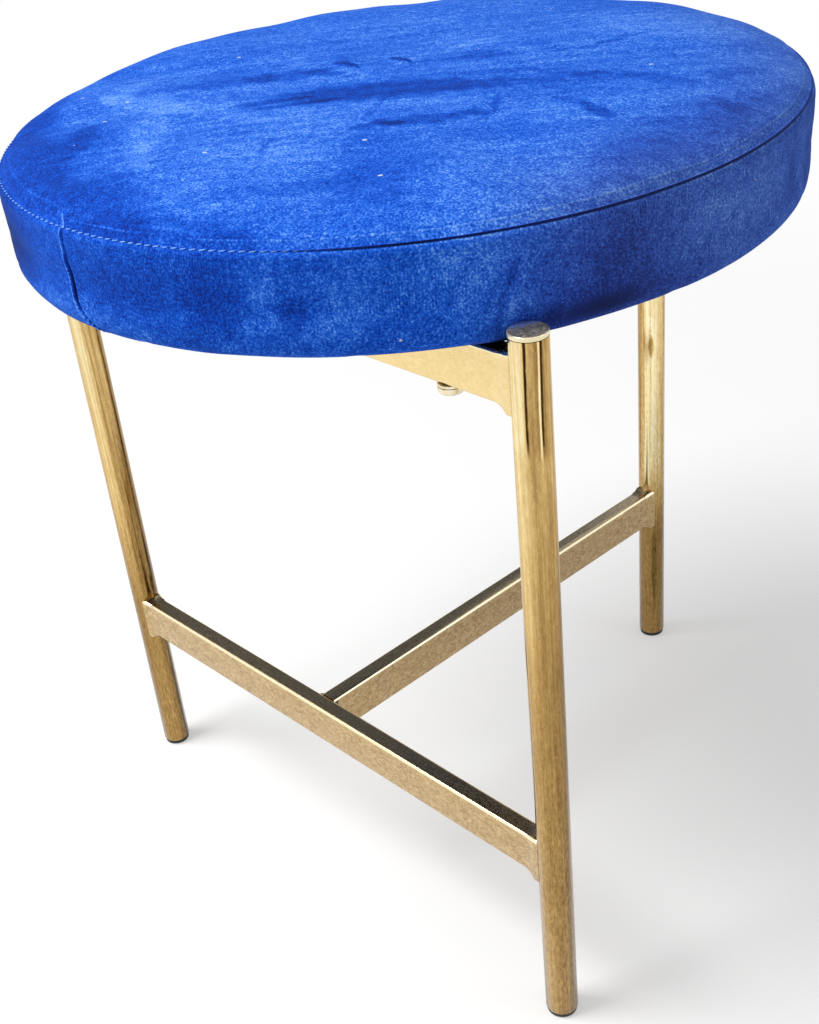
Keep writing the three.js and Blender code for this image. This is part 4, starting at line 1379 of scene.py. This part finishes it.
def velvet_pile():
    """Royal blue pile: tone from dark to light, with grain, brushed streaks and lint. The lowest
    tones turn near black with less sheen as painted deep shade, and the right shade greys it.
    """
    inputs = {"Place": "Vector", "Tone": "Float", "Right_shade": "Float", "Patches": "Float",
              "Streaks": "Float"}
    outputs = {"Colour": "Color", "Height": "Float", "Open": "Float"}
    tree, given, result = new_group("velvet_pile", inputs, outputs)
    place = given["Place"]
    patch = grain(tree, place, 17, 4, 0.55, 0.6)
    streak = grain(tree, moved(tree, place, (9, 130, 60), 0.76), 1.0, 4, 0.6, 0.3)
    blotch = grain(tree, place, 210, 3, 0.65)
    fine = grain(tree, place, 950, 2, 0.7)
    tone = given["Tone"]
    for value, amount in ((patch, given["Patches"]), (streak, given["Streaks"]),
                          (blotch, 0.66), (fine, 1.75)):
        tone = swayed(tree, tone, value, amount)
    tone = sums(tree, "MAXIMUM", sums(tree, "MINIMUM", tone, 1.0), 0.0)
    colour = shades(tree, tone, (0.0, paint(0, 40, 136)), (0.28, paint(2, 68, 186)),
                    (0.52, paint(20, 92, 216)), (0.76, paint(62, 128, 240)),
                    (1.0, paint(128, 178, 255)))
    # Tones below zero turn near black and lose sheen: painted deep shade.
    deep = sums(tree, "MULTIPLY", eased(tree, given["Tone"], 0.12, -0.36), 0.92)
    pale = sums(tree, "MULTIPLY_ADD", given["Right_shade"], -0.07, 1.0)
    dim = sums(tree, "MULTIPLY_ADD", given["Right_shade"], -0.34, 1.0)
    feeds = {"Color": blend(tree, deep, colour, paint(6, 18, 58)), "Saturation": pale,
             "Value": dim}
    colour = lay(tree, "HueSaturation", feeds).outputs["Color"]
    fluff = sums(tree, "MULTIPLY", eased(tree, grain(tree, place, 330, 0), 0.905, 0.93), 0.8)
    feed(tree, result["Colour"], blend(tree, fluff, colour, paint(206, 218, 240)))
    feed(tree, result["Open"], sums(tree, "SUBTRACT", 1.0, deep))
    height = sums(tree, "MULTIPLY_ADD", blotch, 0.6, sums(tree, "MULTIPLY", fine, 0.5))
    feed(tree, result["Height"], height)
    return tree


pile = velvet_pile()
stroke = nap_stroke()
# Narrow brushed marks on the top, from the seat's middle in mm: start, end, width, strength.
fine_strokes = [
    ((-31, -77), (-8, -46), 5, -0.29), ((-17, -73), (8, -44), 5, -0.29),
    ((30, 8), (86, 52), 3.4, -0.14), ((16, 2), (60, 36), 3, -0.13),
    ((62, 2), (102, 36), 3, -0.1), ((16, -56), (70, -12), 7, 0.1),
    ((48, -72), (64, -56), 6.5, -0.35), ((33, -38), (46, -62), 4, -0.13),
    ((-40, -2), (-21, -3), 4, -0.43), ((-18, 18), (-6, 18), 4, -0.52),
    ((-10, 22), (2, 74), 7, 0.12), ((12, 34), (22, 54), 4.5, -0.15),
    ((58, 70), (70, 106), 3, -0.22), ((46, 54), (54, 72), 3, -0.15),
    ((102, 3), (122, 2), 6, -0.22), ((120, 1), (141, -5), 6.5, -0.31),
    ((74, -4), (93, -27), 2.6, -0.2), ((26, -99), (38, -116), 2.2, -0.2),
]
# Bits of lint on the top, from the seat's middle in mm, and their width and length.
top_lint = [(-107, -12), (-135, -95), (-98, -92), (-80, -118), (106, 64), (12, -127),
            (102, -106), (65, -80)]
lint_width = 1.3 * MM
lint_reach = Vector((1.6 * MM, 0.6 * MM, 0))
stroke_ragged = 16 * MM
rib_pitch = 1.3 * MM
nap_depth = 0.5 * MM


def velvet(name, tone, patches, streaks, strokes, lint, ribbed):
    """Velvet of one panel, with its brushed marks and the soft light edge of its pile."""
    finish, tree, shader, place = new_finish(name)
    loose = grain(tree, place, 110, 5, 0.7)
    ragged = swayed(tree, 0.0, loose, stroke_ragged)
    aside = {"X": ragged, "Y": sums(tree, "MULTIPLY", ragged, -0.7)}
    shaken = vectors(tree, "ADD", place, lay(tree, "CombineXYZ", aside).outputs[0])
    level = vectors(tree, "MULTIPLY", shaken, (1, 1, 0))
    stood = lay(tree, "UVMap", uv_map="pile").outputs["UV"]
    stood = lay(tree, "SeparateXYZ", {"Vector": stood}).outputs
    whole = sums(tree, "ADD", stood["X"], tone)
    for begin, end, width, strength in strokes:
        start_at = Vector((begin[0] * MM + seat_x, begin[1] * MM + seat_y, 0))
        reach = Vector(((end[0] - begin[0]) * MM, (end[1] - begin[1]) * MM, 0))
        mask = place_group(tree, stroke, {"Place": level, "Start": start_at, "Along": reach,
                                          "Width": width * MM})["Mask"]
        whole = sums(tree, "MULTIPLY_ADD", mask, strength, whole)
    height = 0.0
    if ribbed:
        around = lay(tree, "UVMap", uv_map="cloth").outputs["UV"]
        across = lay(tree, "SeparateXYZ", {"Vector": around}).outputs["X"]
        rib = sums(tree, "SINE", sums(tree, "MULTIPLY", across, math.tau / rib_pitch))
        height = sums(tree, "MULTIPLY", rib, eased(tree, grain(tree, place, 26, 2), 0.4, 0.62))
        # The ribs also lighten and darken the tone: painted shading of their relief.
        whole = sums(tree, "MULTIPLY_ADD", height, 0.09, whole)
    nap = place_group(tree, pile, {"Place": place, "Tone": whole, "Right_shade": stood["Y"],
                                   "Patches": patches, "Streaks": streaks})
    colour = nap["Colour"]
    flat = vectors(tree, "MULTIPLY", place, (1, 1, 0))
    for x, y in lint:
        spot = Vector((x * MM + seat_x, y * MM + seat_y, 0))
        mask = place_group(tree, stroke, {"Place": flat, "Start": spot, "Width": lint_width,
                                          "Along": lint_reach})["Mask"]
        colour = blend(tree, mask, colour, paint(214, 224, 240))
    # Sheen falls off where the pile's tone is painted deep shade.
    feeds = {"Base Color": colour, "Roughness": 0.9, "Specular IOR Level": 0.15,
             "Sheen Weight": sums(tree, "MULTIPLY", nap["Open"], 0.36),
             "Sheen Roughness": 0.38, "Sheen Tint": paint(66, 138, 255)}
    coat(tree, shader, feeds, sums(tree, "MULTIPLY_ADD", height, 0.15, nap["Height"]), 0.55,
         nap_depth)
    return finish


crown, under = crown_line(), band_line()
finer = [(leg, *leg_columns) for leg in leg_angles]
finer += [(join_angle + join_columns_aside, *join_columns)]
angles = round_angles(columns_round, finer)
top_runs = growing(top_step, arc(crown) - peak_clear)
side_runs = growing(band_step, arc(under))
top_points, top_tone = top_cover(crown, top_runs, angles)
side_points, side_tone = band_cover(under, side_runs, angles)
shift, crown_runs, band_runs = puffed(rows=26, columns=132)
top_rows = len(crown_runs)
top_shift = np.concatenate([np.zeros((1,) + shift.shape[1:]), shift[:top_rows][::-1]])
top_points += spread(top_shift, np.concatenate([[0], crown_runs]), top_runs, angles)
side_points += spread(shift[top_rows:], band_runs, side_runs, angles)
top_points[:, :, 2] += seam_gap
side_points[:, :, 2] -= seam_gap * (1 - between(side_runs, 0, seam_gap_fades))[:, None]

# The top panel's base tone is set lighter than the band's: painted light, with the top lit more than
# the side.
top_velvet = velvet("velvet_top", tone=0.61, patches=0.36, streaks=0.46, strokes=fine_strokes,
                    lint=top_lint, ribbed=False)
band_velvet = velvet("velvet_band", tone=0.43, patches=0.5, streaks=0.12, strokes=[], lint=[],
                     ribbed=True)
top_panel = cloth_piece("velvet_top_panel", top_points, top_tone, angles, top_runs, closed=True)
work(top_panel, "SOLIDIFY", thickness=cloth, offset=-1)
settle(top_panel, "velvet_top_panel", top_velvet, "velvet_top", "cover_top_panel", smooth=60)
band = cloth_piece("velvet_boxing_band", side_points, side_tone, angles, side_runs, closed=False)
bpy.ops.object.mode_set(mode="EDIT")
pick(band, "FACE", lambda face: any((face.calc_center_median() - spot).xy.length < punched_hole
                                    for spot in screw_spots.values()))
bpy.ops.mesh.delete(type="FACE")
bpy.ops.object.mode_set(mode="OBJECT")
work(band, "SOLIDIFY", thickness=cloth, offset=-1)
settle(band, "velvet_boxing_band", band_velvet, "velvet_band", "cover_boxing_band", smooth=60)

# Seam stitches
# Thick polyester thread in even stitches runs round the seam between the top panel and the
# band. It lies high and pale near the join, and has sunk into the groove elsewhere, where its
# colour is painted dark as painted shade.
stitch_pitch = 4.45 * MM
stitch_length = 3.6 * MM
stitch_thick = 0.7 * MM
stitch_slant = 0.16
stitch_bow = 0.25 * MM
stitch_out = 0.2 * MM
stitch_sink = 0.15 * MM
# Where the thread turns from painted shade to its pale colour, as shares of the seat's radius.
pale_from, pale_to = 0.62, 0.8
thread_grain = 0.1 * MM
seam_radius = crown_outline[-1][0] * band_radius


def polyester_thread():
    """Twisted thread: pale where it lies high, painted dark as shade where it has sunk into the pile.
    """
    finish, tree, shader, place = new_finish("polyester_thread")
    twist = grain(tree, place, 1900, 2, 0.6)
    pale = shades(tree, twist, (0.35, paint(80, 142, 250)), (0.65, paint(146, 194, 255)))
    dark = shades(tree, twist, (0.35, paint(8, 28, 92)), (0.65, paint(28, 60, 152)))
    way = (math.cos(stitches_high), math.sin(stitches_high), 0)
    along = vectors(tree, "DOT_PRODUCT", place, way)
    high = eased(tree, along, pale_from * band_radius, pale_to * band_radius)
    feeds = {"Base Color": blend(tree, high, dark, pale), "Roughness": 0.7,
             "Specular IOR Level": 0.2}
    coat(tree, shader, feeds, twist, 0.5, thread_grain)
    return finish


model = start(bpy.ops.mesh.primitive_uv_sphere_add, segments=8, ring_count=6, radius=0.5)
capsule = np.array([v.co for v in model.data.vertices])
capsule_faces = [list(f.vertices) for f in model.data.polygons]
bpy.data.objects.remove(model)
stitch_count = round(math.tau * seam_radius / stitch_pitch)
body = capsule[:, [2, 0, 1]] * np.array([stitch_length, stitch_thick, stitch_thick])
along = body[:, 0] * math.cos(stitch_slant) - body[:, 2] * math.sin(stitch_slant)
rise = body[:, 0] * math.sin(stitch_slant) + body[:, 2] * math.cos(stitch_slant)
bow = stitch_bow * (2 * along / stitch_length) ** 2
verts, faces = [], []
for i in range(stitch_count):
    angle = math.tau * (i + 0.5) / stitch_count
    turn = angle + along / seam_radius
    out = seam_radius + stitch_out - stitch_sink * sunk(angle) + body[:, 1] - bow
    faces += [[len(verts) + v for v in face] for face in capsule_faces]
    verts += np.stack([seat_x + out * np.cos(turn), seat_y + out * np.sin(turn),
                       seam_height + rise], 1).tolist()
thread_mesh = bpy.data.meshes.new("seam_stitches")
thread_mesh.from_pydata(verts, [], faces)
thread = bpy.data.objects.new("seam_stitches", thread_mesh)
bpy.context.scene.collection.objects.link(thread)
settle(thread, "seam_stitches", polyester_thread(), "thread", "seam_thread", smooth=60)

# Dust cover
# A disc of thin black spun cloth covers the underside of the board. It is stapled round its
# edge and sags a little between the rails.
low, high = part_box("dust_cover")
dust_radius = (high.x - low.x) / 2
dust_thick = 0.5 * MM
dust_sag = 0.7 * MM
dust_taut = 5 * MM
dust_hang = 30 * MM
dust_edge = 22 * MM
dust_clear = 0.1 * MM
dust_punch = 6 * MM
dust_grain = 0.2 * MM
dust_rings = 40
dust_spokes = 144


def spun_cloth():
    """Black spun-bonded cloth with pressed dots and pale fibres."""
    finish, tree, shader, place = new_finish("dust_cover_cloth")
    dots = lay(tree, "TexVoronoi", {"Vector": moved(tree, place, (1, 1, 0)), "Scale": 620},
               feature="F1").outputs["Distance"]
    fibre = grain(tree, moved(tree, place, (90, 700, 90), 0.5), 1.0, 4, 0.7)
    tone = sums(tree, "MULTIPLY_ADD", dots, 0.4, sums(tree, "MULTIPLY", fibre, 0.6))
    colour = shades(tree, tone, (0.25, paint(14, 14, 16)), (0.75, paint(52, 52, 56)))
    coat(tree, shader, {"Base Color": colour, "Roughness": 0.9}, tone, 0.5, dust_grain)
    return finish


reach = np.linspace(0, dust_radius, dust_rings + 1)[1:, None]
turn = np.linspace(0, math.tau, dust_spokes, endpoint=False)[None, :]
x, y = seat_x + reach * np.cos(turn), seat_y + reach * np.sin(turn)
low_rail, high_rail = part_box("upper_cross_rail")
from_cross = np.maximum(low_rail.y - y, y - high_rail.y)
from_stem = np.where(y > high_rail.y, np.abs(x) - bar_depth / 2, 1.0)
free = between(np.minimum(from_cross, from_stem), dust_taut, dust_taut + dust_hang)
free = free * between(dust_radius - reach, 0, dust_edge)
sag = dust_sag * free * (0.75 + 0.25 * np.sin(31 * x / dust_radius) * np.sin(23 * y / dust_radius))
dust_points = np.stack([x, y, high.z - dust_clear - sag], 2).reshape(-1, 3)
centre = dust_rings * dust_spokes
dust_faces = [(centre, i, (i + 1) % dust_spokes) for i in range(dust_spokes)]
for ring in range(dust_rings - 1):
    for i in range(dust_spokes):
        k = (i + 1) % dust_spokes
        dust_faces.append((ring * dust_spokes + i, (ring + 1) * dust_spokes + i,
                           (ring + 1) * dust_spokes + k, ring * dust_spokes + k))
middle = [[seat_x, seat_y, dust_points[:dust_spokes, 2].mean()]]
dust_mesh = bpy.data.meshes.new("spun_dust_cover")
dust_mesh.from_pydata(np.vstack([dust_points, middle]).tolist(), [], dust_faces)
dust = bpy.data.objects.new("spun_dust_cover", dust_mesh)
bpy.context.scene.collection.objects.link(dust)
work(dust, "SOLIDIFY", thickness=dust_thick, offset=-1)
dust_holes = [start(bpy.ops.mesh.primitive_cylinder_add, vertices=24, radius=screw_hole,
                    depth=dust_punch, location=(spot.x, spot.y, high.z))
              for spot in screw_spots.values()]
carve(dust, *dust_holes)
settle(dust, "spun_dust_cover", spun_cloth(), "dust_cover", "dust_cover")
staple_zinc = zinc("zinc_staple", 0.96, 0.25)
for i in range(1, 13):
    dress(f"staple_{i}", staple_zinc)

# Floor, light and camera
# A plain pale floor that fades to white, one large soft lamp from the left, a weaker one
# from the right, and even white surroundings.
ambient = 0.36
floor_size = 12.0
floor_drop = 0.2 * MM
floor_fades_from, floor_fades_to = 0.45, 1.3
card_radius = 2.2
card_height = 2.6
card_middle = 1.85


def seen_directly(tree):
    """1 for what the camera, a polished surface or glass sees, and 0 for light on things."""
    rays = lay(tree, "LightPath").outputs
    first = sums(tree, "MAXIMUM", rays["Is Camera Ray"], rays["Is Glossy Ray"])
    return sums(tree, "MAXIMUM", first, rays["Is Transmission Ray"])


world = bpy.data.worlds.new("white_studio")
bpy.context.scene.world = world
world.use_nodes = True
sky = world.node_tree
level = sums(sky, "MULTIPLY_ADD", seen_directly(sky), 1 - ambient, ambient)
sky.nodes["Background"].inputs["Color"].default_value = (1, 1, 1, 1)
sky.links.new(level, sky.nodes["Background"].inputs["Strength"])

floor = start(bpy.ops.mesh.primitive_plane_add, size=floor_size, location=(0, 0, -floor_drop))
floor.name = "studio_floor"
pale = bpy.data.materials.new("pale_floor")
pale.use_nodes = True
tree = pale.node_tree
tree.nodes.clear()
place = lay(tree, "TexCoord").outputs["Object"]
away = vectors(tree, "LENGTH", place)
matt = lay(tree, "BsdfDiffuse", {"Color": (0.66, 0.66, 0.66, 1)}).outputs[0]
lift = lay(tree, "Emission", {"Strength": sums(tree, "MULTIPLY", seen_directly(tree), 0.4)})
near = lay(tree, "AddShader", {0: matt, 1: lift.outputs[0]}).outputs[0]
white = lay(tree, "Emission", {"Strength": 1.0}).outputs[0]
fade = eased(tree, away, floor_fades_from, floor_fades_to)
mixed = lay(tree, "MixShader", {0: fade, 1: near, 2: white})
tree.links.new(mixed.outputs[0], lay(tree, "OutputMaterial").inputs["Surface"])
floor.data.materials.append(pale)


def lamp(name, place, aim, size, power):
    """A square soft lamp that faces a point."""
    made = start(bpy.ops.object.light_add, type="AREA", location=place)
    made.name = name
    made.data.size = size
    made.data.energy = power
    made.rotation_euler = (Vector(aim) - Vector(place)).to_track_quat("-Z", "Y").to_euler()


lamp("key_lamp", (-0.75, -1.15, 2.35), (0, 0, 0.4), size=1.2, power=54)
lamp("fill_lamp", (1.9, 0.9, 0.9), (0, 0, 0.4), size=0.9, power=3)

# A curved dark card, which only polished faces mirror.
dark_card = start(bpy.ops.mesh.primitive_cylinder_add, vertices=96, radius=card_radius,
                  depth=card_height, end_fill_type="NOTHING", location=(0, 0, card_middle))
bpy.ops.object.mode_set(mode="EDIT")
pick(dark_card, "FACE", lambda face: face.normal.x > -0.62 or face.normal.y < 0.2)
bpy.ops.mesh.delete(type="FACE")
bpy.ops.object.mode_set(mode="OBJECT")
dark_card.name = "dark_card"
dull = bpy.data.materials.new("dark_card")
dull.use_nodes = True
dull.node_tree.nodes["Principled BSDF"].inputs["Base Color"].default_value = paint(118, 120, 124)
dull.node_tree.nodes["Principled BSDF"].inputs["Roughness"].default_value = 1.0
dark_card.data.materials.append(dull)
for kind in ("camera", "diffuse", "transmission", "shadow"):
    setattr(dark_card, f"visible_{kind}", False)

view = start(bpy.ops.object.camera_add, location=(0.537587, -0.498095, 0.632940))
view.rotation_euler = [math.radians(a) for a in (57.33905, 6.82896, 48.14136)]
view.data.lens = 51.1232
view.data.sensor_width = 36
view.data.shift_x = 0.0756937
view.data.shift_y = 0.0511724
bpy.context.scene.camera = view
bpy.context.scene.view_settings.view_transform = "Standard"
